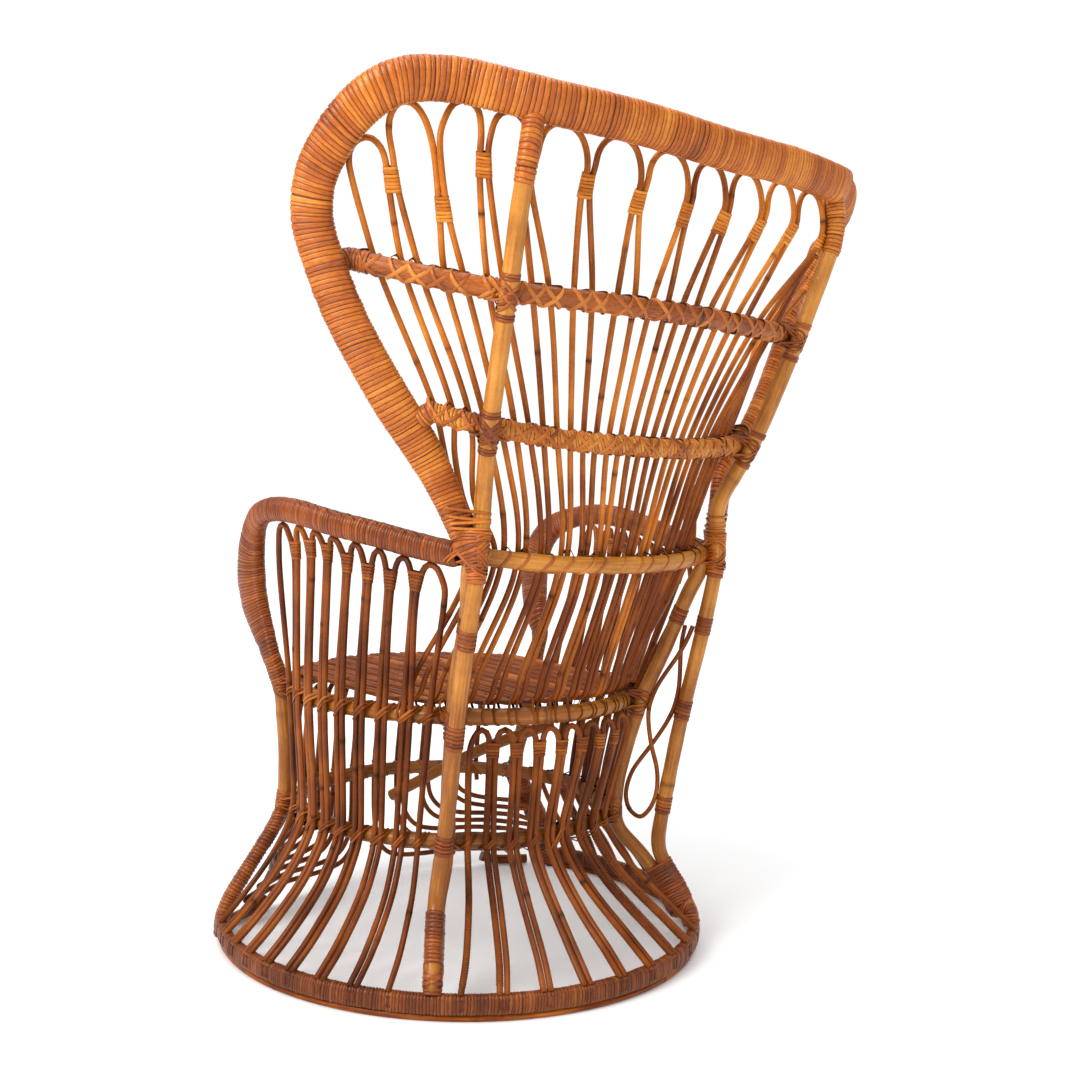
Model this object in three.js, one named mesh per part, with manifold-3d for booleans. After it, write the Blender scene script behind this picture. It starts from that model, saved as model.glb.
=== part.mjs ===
// Peacock chair: a lashed rattan chair with a flared, hooded fan back, curved arms, a round cane
// seat and a flared cage of canes below the seat. Millimetres, +Z up, the sitter faces -Y and the
// sitter's left hand is on +X. The left half is laid out below and the right half mirrors it.
import * as THREE from "three";
import { mergeVertices } from "three/addons/utils/BufferGeometryUtils.js";
import Module from "manifold-3d";

// ---- driving dimensions ----------------------------------------------------------------------
const GAP = 0.45; // clearance between poles that are lashed against each other
const CANE_GAP = 1.5; // clearance between a cane and the pole that it crosses
const Y_SHIFT = -108.8; // moves the chair so that the middle of its depth is at the origin
const FLOOR = 9; // height of the floor in the coordinates of the layout below

const POST_R = 10.5; // back posts and inner legs
const FRONT_LEG_R = 11;
const CANE_R = 4.2; // canes of the sides and the cage
const BACK_CANE_R = 3.8; // long canes of the back and the seat
const EIGHT_R = 3.3; // thin cane of the figure-eight filling
const BRACE_R = 8;
const UPPER_BAND_R = 12;
const MIDDLE_BAND_R = 12;
const LOWER_BAND_R = 11;
const RIM_WIDTH = 49; // flat bundle round the back, measured in the surface of the back
const RIM_THICK = 26;
const ARM_WIDTH = 38; // flat bundle of the arm, upright
const ARM_THICK = 24;
const FRONT_RIM_R = 8; // lowest cane of the front fans, along the floor

const SEAT_Z = 366;
const SEAT_RING_R = 242;
const SEAT_POLE_R = 11.5;
const SEAT_Y = -8; // ring centre
const WAIST_Z = 192;
const WAIST_RING_R = 226;
const WAIST_POLE_R = 10.5;
const WAIST_Y = -28;
const BASE_R = 347.5; // centreline of the base ring
const BASE_Y = 3;
const BASE_WIDTH = 17;
const BASE_TOP = 34;
const HOOP_WIDTH = 12;
const HOOP_TOP = 8.2;
const HOOP_END = 114.2; // the horseshoe runs this many degrees to each side of the back

const V = (x, y, z) => new THREE.Vector3(x, y, z);
const rad = THREE.MathUtils.degToRad;
const lerp = THREE.MathUtils.lerp;
const mirrored = (points) => points.map((p) => V(-p.x, p.y, p.z));

// ---- curves ------------------------------------------------------------------------------------
// A smooth curve through the points, as a polyline whose vertices lie closer together in bends.
function laid(points, { tolerance = 0.45, longest = 95, rise = 24 } = {}) {
  const curve = new THREE.CatmullRomCurve3(points, false, "centripetal");
  const fine = [];
  const n = (points.length - 1) * rise;
  for (let i = 0; i <= n; i++) fine.push(curve.getPoint(i / n));
  const keep = new Set([0, n]);
  const split = (a, b) => {
    const line = new THREE.Line3(fine[a], fine[b]);
    let worst = 0;
    let at = -1;
    const foot = new THREE.Vector3();
    for (let i = a + 1; i < b; i++) {
      line.closestPointToPoint(fine[i], true, foot);
      const d = foot.distanceTo(fine[i]);
      if (d > worst) [worst, at] = [d, i];
    }
    if (worst > tolerance || (line.distance() > longest && b - a > 1)) {
      if (at < 0 || worst <= tolerance) at = (a + b) >> 1;
      keep.add(at);
      split(a, at);
      split(at, b);
    }
  };
  split(0, n);
  return [...keep].sort((a, b) => a - b).map((i) => fine[i]);
}

// A path that an outline is swept along: it keeps the vertices it is given, and its outline's x
// axis keeps to the direction that outward(i, point) gives, or turns as little as it can.
class LaidPath extends THREE.Curve {
  constructor(points, outward = null, swell = null) {
    super();
    this.points = points;
    this.outward = outward;
    this.swell = swell; // scale of the outline's x and y at each vertex
  }
  getPoint(t) {
    const s = t * (this.points.length - 1);
    const i = Math.min(Math.floor(s), this.points.length - 2);
    return this.points[i].clone().lerp(this.points[i + 1], s - i);
  }
  getSpacedPoints() {
    return this.points.map((p) => p.clone());
  }
  computeFrenetFrames() {
    const p = this.points;
    const tangents = p.map((_, i) => {
      const before = p[Math.max(i, 1)].clone().sub(p[Math.max(i, 1) - 1]).normalize();
      const j = Math.min(i, p.length - 2);
      const after = p[j + 1].clone().sub(p[j]).normalize();
      return before.add(after).normalize();
    });
    const normals = [];
    tangents.forEach((t, i) => {
      let n;
      if (this.outward) n = this.outward(i, p[i]).clone();
      else if (i) n = normals[i - 1].clone();
      else n = Math.abs(t.z) < 0.7 ? V(0, 0, 1) : V(0, 1, 0);
      normals.push(n.addScaledVector(t, -n.dot(t)).normalize());
    });
    const binormals = tangents.map((t, i) => t.clone().cross(normals[i]).normalize());
    if (this.swell)
      p.forEach((_, i) => {
        const [across, along] = this.swell(i);
        normals[i].multiplyScalar(across);
        binormals[i].multiplyScalar(along);
      });
    return { tangents, normals, binormals };
  }
}

const polygon = (r, sides, turn = 0) =>
  new THREE.Shape(
    Array.from({ length: sides }, (_, i) => {
      const a = (2 * Math.PI * (i + turn)) / sides;
      return new THREE.Vector2(r * Math.cos(a), r * Math.sin(a));
    }),
  );
// A flat bundle of poles: thick across (x) and wide (y), with round edges.
const bundle = (thick, wide) =>
  new THREE.Shape(
    [
      [0.5, 0.28], [0.24, 0.5], [-0.24, 0.5], [-0.5, 0.28],
      [-0.5, -0.28], [-0.24, -0.5], [0.24, -0.5], [0.5, -0.28],
    ].map(([x, y]) => new THREE.Vector2(x * thick, y * wide)),
  );

function sweep(outline, points, outward = null, swell = null) {
  return new THREE.ExtrudeGeometry(outline, {
    steps: points.length - 1,
    extrudePath: new LaidPath(points, outward, swell),
  });
}
// value at x of a table of [x, value] rows with rising x
function table(rows, x) {
  let i = rows.findIndex((r) => r[0] >= x);
  if (i < 0) return rows.at(-1)[1];
  if (i === 0) return rows[0][1];
  const [a, b] = [rows[i - 1], rows[i]];
  return lerp(a[1], b[1], (x - a[0]) / (b[0] - a[0]));
}
const pole = (r, points, sides = 7) => sweep(polygon(r, sides, 0.5), points);
const cane = (points, r = CANE_R, sides = 5) => sweep(polygon(r, sides, 0.5), points);

// ---- joining -----------------------------------------------------------------------------------
const wasm = await Module();
wasm.setup();
function solid(geometry) {
  const bare = geometry.clone();
  bare.deleteAttribute("normal");
  bare.deleteAttribute("uv");
  const merged = mergeVertices(bare, 1e-3);
  return new wasm.Manifold(
    new wasm.Mesh({
      numProp: 3,
      vertProperties: new Float32Array(merged.attributes.position.array),
      triVerts: new Uint32Array(merged.index.array),
    }),
  );
}
function fuse(...geometries) {
  const joined = geometries.map(solid).reduce((a, b) => a.add(b)).getMesh();
  const out = new THREE.BufferGeometry();
  out.setAttribute("position", new THREE.BufferAttribute(new Float32Array(joined.vertProperties), 3));
  out.setIndex(new THREE.BufferAttribute(new Uint32Array(joined.triVerts), 1));
  out.computeVertexNormals();
  return out;
}

// ---- finishes ------------------------------------------------------------------------------------
const finish = (color, roughness) =>
  new THREE.MeshStandardMaterial({ color, roughness, metalness: 0 });
const PEELED = 0xc9995a; // light peeled poles
const WRAPPED = 0xb0713a; // bundles wound with peel
const CANE = 0xa96a3a; // skin-on cane

const chair = new THREE.Group();
chair.name = "peacock_chair";
const frame = new THREE.Group();
const back = new THREE.Group();
const cage = new THREE.Group();
for (const g of [frame, back, cage]) chair.add(g);
chair.position.set(0, Y_SHIFT, -FLOOR);

function add(group, name, geometry, color, roughness = 0.5) {
  const mesh = new THREE.Mesh(geometry, finish(color, roughness));
  mesh.name = name;
  group.add(mesh);
  return mesh;
}
function addPair(group, name, make, color, roughness) {
  add(group, name + "_left", make((p) => p), color, roughness);
  add(group, name + "_right", make(mirrored), color, roughness);
}

// ---- base ring and skid hoop: horseshoes open to the front --------------------------------------
const ringPoint = (r, degrees, y, z) =>
  V(r * Math.sin(rad(degrees)), y + r * Math.cos(rad(degrees)), z);
function horseshoe(z, steps) {
  return Array.from({ length: steps + 1 }, (_, i) =>
    ringPoint(BASE_R, -HOOP_END + (2 * HOOP_END * i) / steps, BASE_Y, z),
  );
}
const fromAxis = (i, p) => V(p.x, p.y - BASE_Y, 0).normalize();
// flat underneath, so that the chair stands on it
const hoopOutline = new THREE.Shape(
  [[-6, 0], [6, 0], [6, 5], [3.2, HOOP_TOP], [-3.2, HOOP_TOP], [-6, 5]].map(
    ([x, y]) => new THREE.Vector2((x * HOOP_WIDTH) / 12, y),
  ),
);
add(frame, "skid_hoop", sweep(hoopOutline, horseshoe(FLOOR, 32), fromAxis), CANE, 0.6);
const baseOutline = new THREE.Shape(
  [[-0.5, 12], [-0.32, 8.7], [0.32, 8.7], [0.5, 12], [0.5, 30.5], [0.32, BASE_TOP], [-0.32, BASE_TOP], [-0.5, 30.5]].map(
    ([x, y]) => new THREE.Vector2(x * BASE_WIDTH, y),
  ),
);
add(frame, "base_ring", sweep(baseOutline, horseshoe(FLOOR, 32), fromAxis), WRAPPED, 0.45);

// ---- waist ring and seat ring ---------------------------------------------------------------------
const ring = (name, r, poleR, y, z) => {
  const mesh = add(frame, name, new THREE.TorusGeometry(r, poleR, 7, 36), PEELED, 0.5);
  mesh.position.set(0, y, z);
  return mesh;
};
ring("waist_ring", WAIST_RING_R, WAIST_POLE_R, WAIST_Y, WAIST_Z);
ring("seat_ring", SEAT_RING_R, SEAT_POLE_R, SEAT_Y, SEAT_Z);

// ---- back posts, inner legs, front legs -----------------------------------------------------------
const postPoints = [
  V(231.5, 258.5, 45), V(231, 257.5, 54), V(219, 241, 92), V(199.5, 217, 145), V(197, 226, 214),
  V(203, 250, 353), V(210, 278, 482), V(211, 297, 581), V(209, 297, 612), V(208, 297, 648), V(217.5, 313.5, 690),
  V(230.5, 335, 736), V(253.6, 392, 890),
  V(268, 432, 1010), V(271, 446.5, 1046),
];
const post = laid(postPoints, { tolerance: 0.8, longest: 200 });
addPair(frame, "back_post", (m) => pole(POST_R, m(post)), PEELED, 0.5);

const postAt = (z) => {
  for (let i = 1; i < post.length; i++)
    if (post[i].z >= z)
      return post[i - 1].clone().lerp(post[i], (z - post[i - 1].z) / (post[i].z - post[i - 1].z));
  return post.at(-1).clone();
};
// The inner leg stands radially inside the post: against the seat ring and the waist ring from
// outside, its top against the post under the lower band and its lower end against the post's foot.
const beside = (z) => postAt(z).add(V(-15.3, -17.9, -2));
const innerLegPoints = [
  V(205, 270.2, 556), V(196.5, 259, 527), V(190, 249, 497), V(186.5, 237, 465), V(182, 223, 430),
  V(175, 209, 395), V(169.5, 199, 366), V(164, 190.5, 330), V(158.5, 181, 290), V(154, 173.5, 250),
  V(152, 169.5, 215), V(152.5, 169.8, 192), V(158, 176, 170), V(174, 190, 148), beside(124),
  beside(102), beside(80), beside(66),
];
const innerLeg = laid(innerLegPoints, { tolerance: 0.8, longest: 200 });
addPair(frame, "inner_leg", (m) => pole(POST_R, m(innerLeg)), PEELED, 0.5);

// The upper part is a round pole, the flared foot is a flat wrapped bundle.
const legTop = laid([
  V(255, -137, 424), V(247, -133, 398), V(238, -129, 366), V(230, -131, 315), V(222, -138, 250),
  V(218.5, -145.5, 203), V(224, -148, 172), V(240, -147, 150),
], { tolerance: 0.9, longest: 200 });
const legFoot = laid([
  V(222, -147, 182), V(235, -147, 156), V(257, -147, 126), V(279, -151, 92), V(296, -156, 62),
  V(305, -159, 38), V(307, -160, 24), V(307, -160, 9.9),
], { tolerance: 0.9, longest: 200 });
const footOut = (m) => (i, p) => m([V(307, -163, 0)])[0].normalize();
addPair(
  frame,
  "front_leg",
  (m) => fuse(pole(FRONT_LEG_R, m(legTop)), sweep(bundle(22, 38), m(legFoot), footOut(m))),
  WRAPPED,
  0.45,
);

// ---- arms ------------------------------------------------------------------------------------------
const armPoints = [
  V(222, 259.5, 584), V(243, 195, 593), V(262, 140, 603), V(283, 74, 613.5), V(293, 0, 624.5),
  V(296, -50, 626), V(289, -104, 618), V(278, -143, 599), V(271, -166, 566), V(268, -172, 530),
  V(264, -166, 487), V(258, -152, 450), V(256, -139, 429),
];
const arm = laid(armPoints, { tolerance: 0.9, longest: 60 });
// length along the arm at each vertex, and how its bundle spreads in the bend at the front
const armRun = arm.map((p, i) => (i ? p.distanceTo(arm[i - 1]) : 0));
for (let i = 1; i < armRun.length; i++) armRun[i] += armRun[i - 1];
const armEnd = armRun.at(-1);
const armWide = [
  [0, 0.84], [60, 0.86], [armEnd - 240, 0.88], [armEnd - 190, 1.1], [armEnd - 145, 1.42],
  [armEnd - 100, 1.52], [armEnd - 60, 1.38], [armEnd - 25, 1.12], [armEnd, 0.84],
];
const armThick = [
  [0, 0.95], [60, 1], [armEnd - 240, 1], [armEnd - 145, 1.2], [armEnd - 100, 1.3],
  [armEnd - 60, 1.25], [armEnd - 25, 1.1], [armEnd, 0.98],
];
addPair(
  frame,
  "arm",
  (m) => {
    const side = m([V(1, 0, 0)])[0];
    return sweep(bundle(ARM_THICK, ARM_WIDTH), m(arm), (i, p) => side, (i) => [
      table(armThick, armRun[i]),
      table(armWide, armRun[i]),
    ]);
  },
  WRAPPED,
  0.4,
);
// underside of the arm above a given y
const armUnder = (y) => {
  for (let i = 1; i < arm.length; i++)
    if (arm[i].y <= y) {
      const p = arm[i - 1].clone().lerp(arm[i], (y - arm[i - 1].y) / (arm[i].y - arm[i - 1].y));
      return p.add(V(-6, 0, -0.88 * (ARM_WIDTH / 2) - CANE_R - 1.2));
    }
  return arm.at(-1);
};

// ---- rim of the back ---------------------------------------------------------------------------------
const rimHalf = [
  [V(0, 475, 1076), V(0, 0.95, -0.31)],
  [V(140, 468, 1080), V(0.12, 0.94, -0.3)],
  [V(262, 440, 1085), V(0.35, 0.89, -0.3)],
  [V(335, 387, 1100), V(0.58, 0.76, -0.28)],
  [V(388, 357, 1092), V(0.66, 0.7, -0.25)],
  [V(416, 307, 1057), V(0.7, 0.7, -0.16)],
  [V(424, 248, 980), V(0.72, 0.69, -0.1)],
  [V(383, 244, 873), V(0.69, 0.72, -0.1)],
  [V(319, 254, 770), V(0.62, 0.78, -0.05)],
  [V(261, 258, 697), V(0.45, 0.89, 0)],
  [V(237, 271, 645), V(0.3, 0.95, 0)],
  [V(221, 277.5, 603), V(0.25, 0.97, 0)],
];
// the bundle narrows towards its tails: [height, scale of the width, scale of the thickness]
const rimWide = [[603, 0.62], [645, 0.76], [697, 0.92], [750, 1], [2000, 1]];
const rimThick = [[603, 0.8], [645, 0.92], [697, 1], [2000, 1]];
const rimWhole = [
  ...rimHalf.slice(1).reverse().map(([p, n]) => [V(-p.x, p.y, p.z), V(-n.x, n.y, n.z)]),
  ...rimHalf,
];
const rimCurve = new THREE.CatmullRomCurve3(rimWhole.map((a) => a[0]), false, "centripetal");
const rimFacing = new THREE.CatmullRomCurve3(rimWhole.map((a) => a[1]), false, "centripetal");
const RIM_STEPS = 46;
const rimPoints = Array.from({ length: RIM_STEPS + 1 }, (_, i) => rimCurve.getPoint(i / RIM_STEPS));
add(
  back,
  "head_rim",
  sweep(
    bundle(RIM_THICK, RIM_WIDTH),
    rimPoints,
    (i) => rimFacing.getPoint(i / RIM_STEPS),
    (i) => [table(rimThick, rimPoints[i].z), table(rimWide, rimPoints[i].z)],
  ),
  WRAPPED,
  0.35,
);

// ---- cross bands of the back ---------------------------------------------------------------------------
// The posts stand outside the bands and the canes run on the sitter's side of them.
function band(half) {
  const points = [...half.slice(1).reverse().map((p) => V(-p.x, p.y, p.z)), ...half];
  return new THREE.CatmullRomCurve3(points, false, "centripetal");
}
const bands = {
  upper: {
    curve: band([V(0, 415, 887), V(130, 402, 887), V(247, 368, 890), V(320, 305, 905), V(361, 257, 918.7), V(371, 245.5, 921.5)]),
    r: UPPER_BAND_R,
    lean: rad(20),
  },
  middle: {
    curve: band([V(0, 358, 724), V(120, 346, 727.5), V(224, 311.5, 739.5), V(259, 284, 749.5), V(271.5, 275.5, 753)]),
    r: MIDDLE_BAND_R,
    lean: rad(16),
  },
  lower: {
    curve: band([V(0, 325, 572), V(120, 309, 575), V(205, 275, 583), V(219, 271.5, 585)]),
    r: LOWER_BAND_R,
    lean: rad(15),
  },
};
for (const [name, b] of Object.entries(bands)) {
  b.fine = Array.from({ length: 401 }, (_, i) => b.curve.getPoint(i / 400));
  const points = laid(b.curve.points, { tolerance: 0.6, longest: 80 });
  add(back, name + "_band", pole(b.r, points), name === "lower" ? PEELED : WRAPPED, 0.42);
}
// Centre of a cane where it crosses a band at the given x of the band, on the sitter's side.
function onBand(b, x, lift = 0) {
  let i = b.fine.findIndex((p, k) => k > 0 && p.x >= x);
  if (i < 1) i = b.fine.length - 1;
  const [p0, p1] = [b.fine[i - 1], b.fine[i]];
  const p = p0.clone().lerp(p1, (x - p0.x) / (p1.x - p0.x));
  const along = p1.clone().sub(p0).normalize();
  const outward = V(-along.y, along.x, 0).normalize();
  const inward = outward.multiplyScalar(-Math.cos(b.lean)).add(V(0, 0, Math.sin(b.lean)));
  return p.addScaledVector(inward, b.r + BACK_CANE_R + CANE_GAP + lift);
}

// ---- long canes of the back and seat ----------------------------------------------------------------------
// Fifteen arches under the rim, one of them in the middle. Neighbouring arches are lashed together
// below their tops, so their legs meet in twos there, spread evenly at the upper and middle band,
// and meet in other twos at the lower band and on the seat.
const upperX = [355, 333.4, 318.8, 298.5, 281.1, 258.5, 240.6, 206.4, 184.1, 152.5, 127.5, 93, 66, 39, 12.5];
const middleX = [268, 252.5, 236, 218, 199.5, 181, 162.5, 144, 125, 106, 87, 68, 48, 28.5, 9.5];
const seatPairX = [195, 170, 143, 113, 83.5, 54.5, 27, 0];
const PAIR = 4.7; // half the spacing of two canes lashed together
// where neighbouring arches are lashed, from the wing to the middle; the first is the outer leg
const ties = [
  V(388, 278, 996), V(365, 318, 1002), V(317, 351, 969), V(292, 388, 1018), V(255, 418, 1006),
  V(178, 430, 1011), V(105, 438, 1003), V(32, 443, 1000),
];
const tops = [
  V(389, 306, 1031), V(371, 349, 1061), V(327, 394, 1067), V(285, 424, 1055),
  V(219, 445, 1048), V(142, 457, 1045), V(69, 462, 1043), V(0, 464, 1042),
];
// neighbouring arches run side by side from the ties up to these points, then round over
const partings = [
  V(395, 283, 1006),
  ...tops.slice(1).map((t, i) => {
    const between = t.clone().lerp(tops[i], 0.5);
    return between.clone().lerp(ties[i + 1], 24 / (between.z - ties[i + 1].z));
  }),
];
// the tops tuck in behind the rim's lower edge, on the sitter's side
const TUCK = 6;
function tucked(top) {
  let best = 0;
  for (let i = 0; i <= 600; i++)
    if (rimCurve.getPoint(i / 600).distanceTo(top) < rimCurve.getPoint(best / 600).distanceTo(top)) best = i;
  const centre = rimCurve.getPoint(best / 600);
  const along = rimCurve.getTangent(best / 600);
  const facing = rimFacing.getPoint(best / 600);
  facing.addScaledVector(along, -facing.dot(along)).normalize();
  const down = facing.clone().cross(along).normalize();
  if (down.dot(top.clone().sub(centre)) < 0) down.negate();
  return centre
    .addScaledVector(down, RIM_WIDTH / 2 - TUCK)
    .addScaledVector(facing, -(RIM_THICK / 2 + BACK_CANE_R + 1));
}
// an arch from one parting over the top to the other
function over(from, top, to) {
  const middle = from.clone().lerp(to, 0.5);
  const half = to.clone().sub(from).multiplyScalar(0.5);
  const rise = top.clone().sub(middle);
  return [0, 28, 58, 90, 122, 152, 180].map((a) => {
    const c = Math.cos(rad(a));
    const s = Math.sin(rad(a));
    return middle
      .clone()
      .addScaledVector(half, -Math.sign(c) * Math.abs(c) ** 0.9)
      .addScaledVector(rise, s ** 0.9);
  });
}
function seatRun(x) {
  // from the front of the seat to the rise of the back, over the seat ring
  const at = (dr, z, side) =>
    V(x, SEAT_Y + side * Math.sqrt((SEAT_RING_R + dr) ** 2 - x * x), z);
  const top = SEAT_Z + SEAT_POLE_R + BACK_CANE_R + CANE_GAP;
  return [
    at(19, SEAT_Z + 4, -1), at(10, top - 2.2, -1), at(-3, top + 0.4, -1),
    at(-22, top + 0.4, 1), at(-4, top + 1.4, 1), at(7, top + 12, 1), at(12, top + 30, 1),
  ];
}
function leg(k, tie) {
  // k counts the legs from the wing inwards; the points run from the seat's front upwards
  const x = seatPairX[k >> 1] + (k % 2 ? -PAIR : PAIR);
  const low = onBand(bands.lower, x);
  const mid = onBand(bands.middle, middleX[k]);
  const up = onBand(bands.upper, upperX[k]);
  // the outermost legs pass on the sitter's side of the rim's tail
  const past = [
    [V(213, 249, 650), V(232, 250.5, 703)],
    [V(203.5, 252, 650), V(222, 256.5, 703)],
    [V(190, 256, 650)],
  ][k] || [];
  return [...seatRun(x), low, ...past, mid, up, tie.clone().lerp(up, 0.22), tie];
}
for (let i = 0; i < 8; i++) {
  // along the surface, from this tie to the next one; the last arch is the middle one
  const last = i === 7;
  const next = last ? V(-ties[7].x, ties[7].y, ties[7].z) : ties[i + 1];
  const across = next.clone().sub(ties[i]).setZ(0).normalize();
  const step = i === 0 ? 0 : PAIR;
  const a = leg(2 * i, ties[i].clone().addScaledVector(across, step));
  const outer = partings[i].clone().addScaledVector(across, step);
  let points;
  if (last) {
    const inner = V(-outer.x, outer.y, outer.z);
    points = [...a, ...over(outer, tucked(tops[i]).setX(0), inner), ...mirrored(a).reverse()];
  } else {
    const b = leg(2 * i + 1, ties[i + 1].clone().addScaledVector(across, -PAIR));
    const inner = partings[i + 1].clone().addScaledVector(across, -PAIR);
    points = [...a, ...over(outer, tucked(tops[i]), inner), ...b.reverse()];
  }
  const line = laid(points, { tolerance: 1.5, longest: 300 });
  add(back, "back_loop_" + String(i + 1).padStart(2, "0"), cane(line, BACK_CANE_R), CANE, 0.4);
  if (!last) add(back, "back_loop_" + String(15 - i).padStart(2, "0"), cane(mirrored(line), BACK_CANE_R), CANE, 0.4);
}

// ---- canes of the cage: sides --------------------------------------------------------------------------------
// A stake at three heights: base, waist and seat, given by its angle from the back.
function stake(base, waist, seat, { shift = 0, lowOut = 0, waistOut = 0, seatOut = 0 } = {}) {
  const turn = (r) => (shift / r) * (180 / Math.PI);
  const at = (r, deg, y, z) => ringPoint(r, deg + turn(r), y, z);
  const w = WAIST_RING_R + WAIST_POLE_R + CANE_R + CANE_GAP + waistOut;
  const s = SEAT_RING_R + SEAT_POLE_R + CANE_R + CANE_GAP + seatOut;
  const mix = (t) => base + (waist - base) * t;
  return [
    at(BASE_R - 1, base, BASE_Y, FLOOR + BASE_TOP + 4.2),
    at(328, mix(0.2), 0, 69),
    at(302.5 + lowOut / 2, mix(0.46), -8, 97),
    at(277 + lowOut, mix(0.73), -16, 129),
    at(255 + lowOut, mix(0.93), -24, 163),
    at(w + 0.3, waist, WAIST_Y, WAIST_Z),
    at(w + 4 + 0.42 * (seatOut - waistOut), lerp(waist, seat, 0.3), lerp(WAIST_Y, SEAT_Y, 0.3), 246),
    at(s + 0.3, seat, SEAT_Y, SEAT_Z),
  ];
}
// angles of the lashed pairs; the first and the last entry are single stakes
const sideBase = [51, 58.6, 66.5, 74.6, 81.8, 89, 96.2, 103.2, 109.8];
const sideWaist = [46.6, 52.8, 60.1, 67.5, 74.6, 81.8, 89.2, 97, 106.5];
const sideSeat = [46.2, 52.9, 60.8, 68.3, 75.9, 83.4, 91.2, 99.6, 107.5];
const sideTies = [
  V(219, 240, 541), V(235, 200, 545), V(248, 162, 547), V(258.5, 126, 553), V(267, 89, 563),
  V(273, 49, 574), V(276, 11, 575), V(279, -25, 573), V(279, -70, 560),
];
for (let i = 0; i < 8; i++) {
  const first = i === 0;
  const last = i === 7;
  const across = sideTies[i + 1].clone().sub(sideTies[i]).normalize();
  const tieA = sideTies[i].clone().addScaledVector(across, first ? 0 : PAIR);
  const tieB = sideTies[i + 1].clone().addScaledVector(across, last ? 0 : -PAIR);
  const legA = stake(sideBase[i], sideWaist[i], sideSeat[i], {
    shift: first ? 0 : PAIR,
  });
  const legB = stake(sideBase[i + 1], sideWaist[i + 1], sideSeat[i + 1], { shift: last ? 0 : -PAIR });
  const middle = tieA.clone().lerp(tieB, 0.5);
  const under = armUnder(middle.y);
  const span = tieA.distanceTo(tieB);
  const top = V(lerp(middle.x, under.x, 0.7), middle.y, under.z);
  const reach = Math.min(span * 0.3, 12);
  const crown = [
    tieA.clone().lerp(top, 0.66).addScaledVector(across, -reach * 0.35),
    top.clone().addScaledVector(across, -reach * 0.55),
    top.clone().addScaledVector(across, reach * 0.55),
    tieB.clone().lerp(top, 0.66).addScaledVector(across, reach * 0.35),
  ];
  const belowA = tieA.clone().lerp(legA.at(-1), 0.18);
  const belowB = tieB.clone().lerp(legB.at(-1), 0.18);
  const line = laid([...legA, belowA, tieA, ...crown, tieB, belowB, ...legB.reverse()], {
    tolerance: 1.5,
    longest: 260,
  });
  add(cage, "side_loop_left_" + (i + 1), cane(line), CANE, 0.42);
  add(cage, "side_loop_right_" + (i + 1), cane(mirrored(line)), CANE, 0.42);
}

// ---- canes of the cage: back, below the seat --------------------------------------------------------------------
const skirtBase = [-36.2, -27.6, -18.4, -9.2, 0, 9.2, 18.4, 27.6, 36.2];
const skirtWaist = [-29.5, -19.8, -11.5, -3.4, 2.7, 9.2, 16.4, 23.9, 31];
const skirtSeat = [-33.5, -21.5, -12.4, -3.8, 4.6, 12.6, 20, 27.4, 34];
for (let i = 0; i < 8; i++) {
  const a = stake(skirtBase[i], skirtWaist[i], skirtSeat[i], { shift: i === 0 ? 0 : PAIR });
  const b = stake(skirtBase[i + 1], skirtWaist[i + 1], skirtSeat[i + 1], { shift: i === 7 ? 0 : -PAIR });
  const under = SEAT_Z - SEAT_POLE_R - CANE_R - 1.2;
  const low = (deg, shift, z, r) => ringPoint(r, deg + (shift / r) * (180 / Math.PI), SEAT_Y, z);
  const sa = skirtSeat[i];
  const sb = skirtSeat[i + 1];
  const crown = [
    low(sa, i === 0 ? 0 : PAIR, 330, 252), low(lerp(sa, sb, 0.22), 0, 343, 250),
    low(lerp(sa, sb, 0.4), 0, under, 248), low(lerp(sa, sb, 0.6), 0, under, 248),
    low(lerp(sa, sb, 0.78), 0, 343, 250), low(sb, i === 7 ? 0 : -PAIR, 330, 252),
  ];
  const line = laid([...a.slice(0, -1), ...crown, ...b.slice(0, -1).reverse()], { tolerance: 1.5, longest: 260 });
  add(cage, "skirt_loop_" + (i + 1), cane(line), CANE, 0.42);
}

// ---- front of the cage -----------------------------------------------------------------------------------------
// One thin cane is laid to and fro: from the side along the front, up in a bend, past the waist ring
// and over in an arch under the seat ring, down again and back, one run above the other, and in the
// same way on the other side. A short thick pole on the floor carries its lowest run at each leg.
const frontY = (x, z) => {
  const floor = -262 + 90 * (x / 300) ** 2;
  const w = WAIST_RING_R + WAIST_POLE_R + CANE_R + CANE_GAP + 0.6;
  const waist = WAIST_Y - Math.sqrt(Math.max(w * w - x * x, 0));
  return lerp(floor, waist, THREE.MathUtils.smoothstep(z, FLOOR, WAIST_Z - 6));
};
const F = (x, z) => V(x, frontY(x, z), z);
const S = (x, z, r = 247) => V(x, SEAT_Y - Math.sqrt(r * r - x * x), z);
const between = (x, z) => {
  const a = frontY(x, WAIST_Z);
  const b = S(x, 0).y;
  return V(x, lerp(a, b, (z - WAIST_Z) / (SEAT_Z - WAIST_Z)), z);
};
const RUN_STEP = 13.6; // height from one run to the next
const uprights = [16, 25.4, 56.4, 65.8, 96.6, 106, 136.4, 145.8, 172];
const runEnd = [262, 258, 255, 250, 246, 239, 232, 224];
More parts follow.
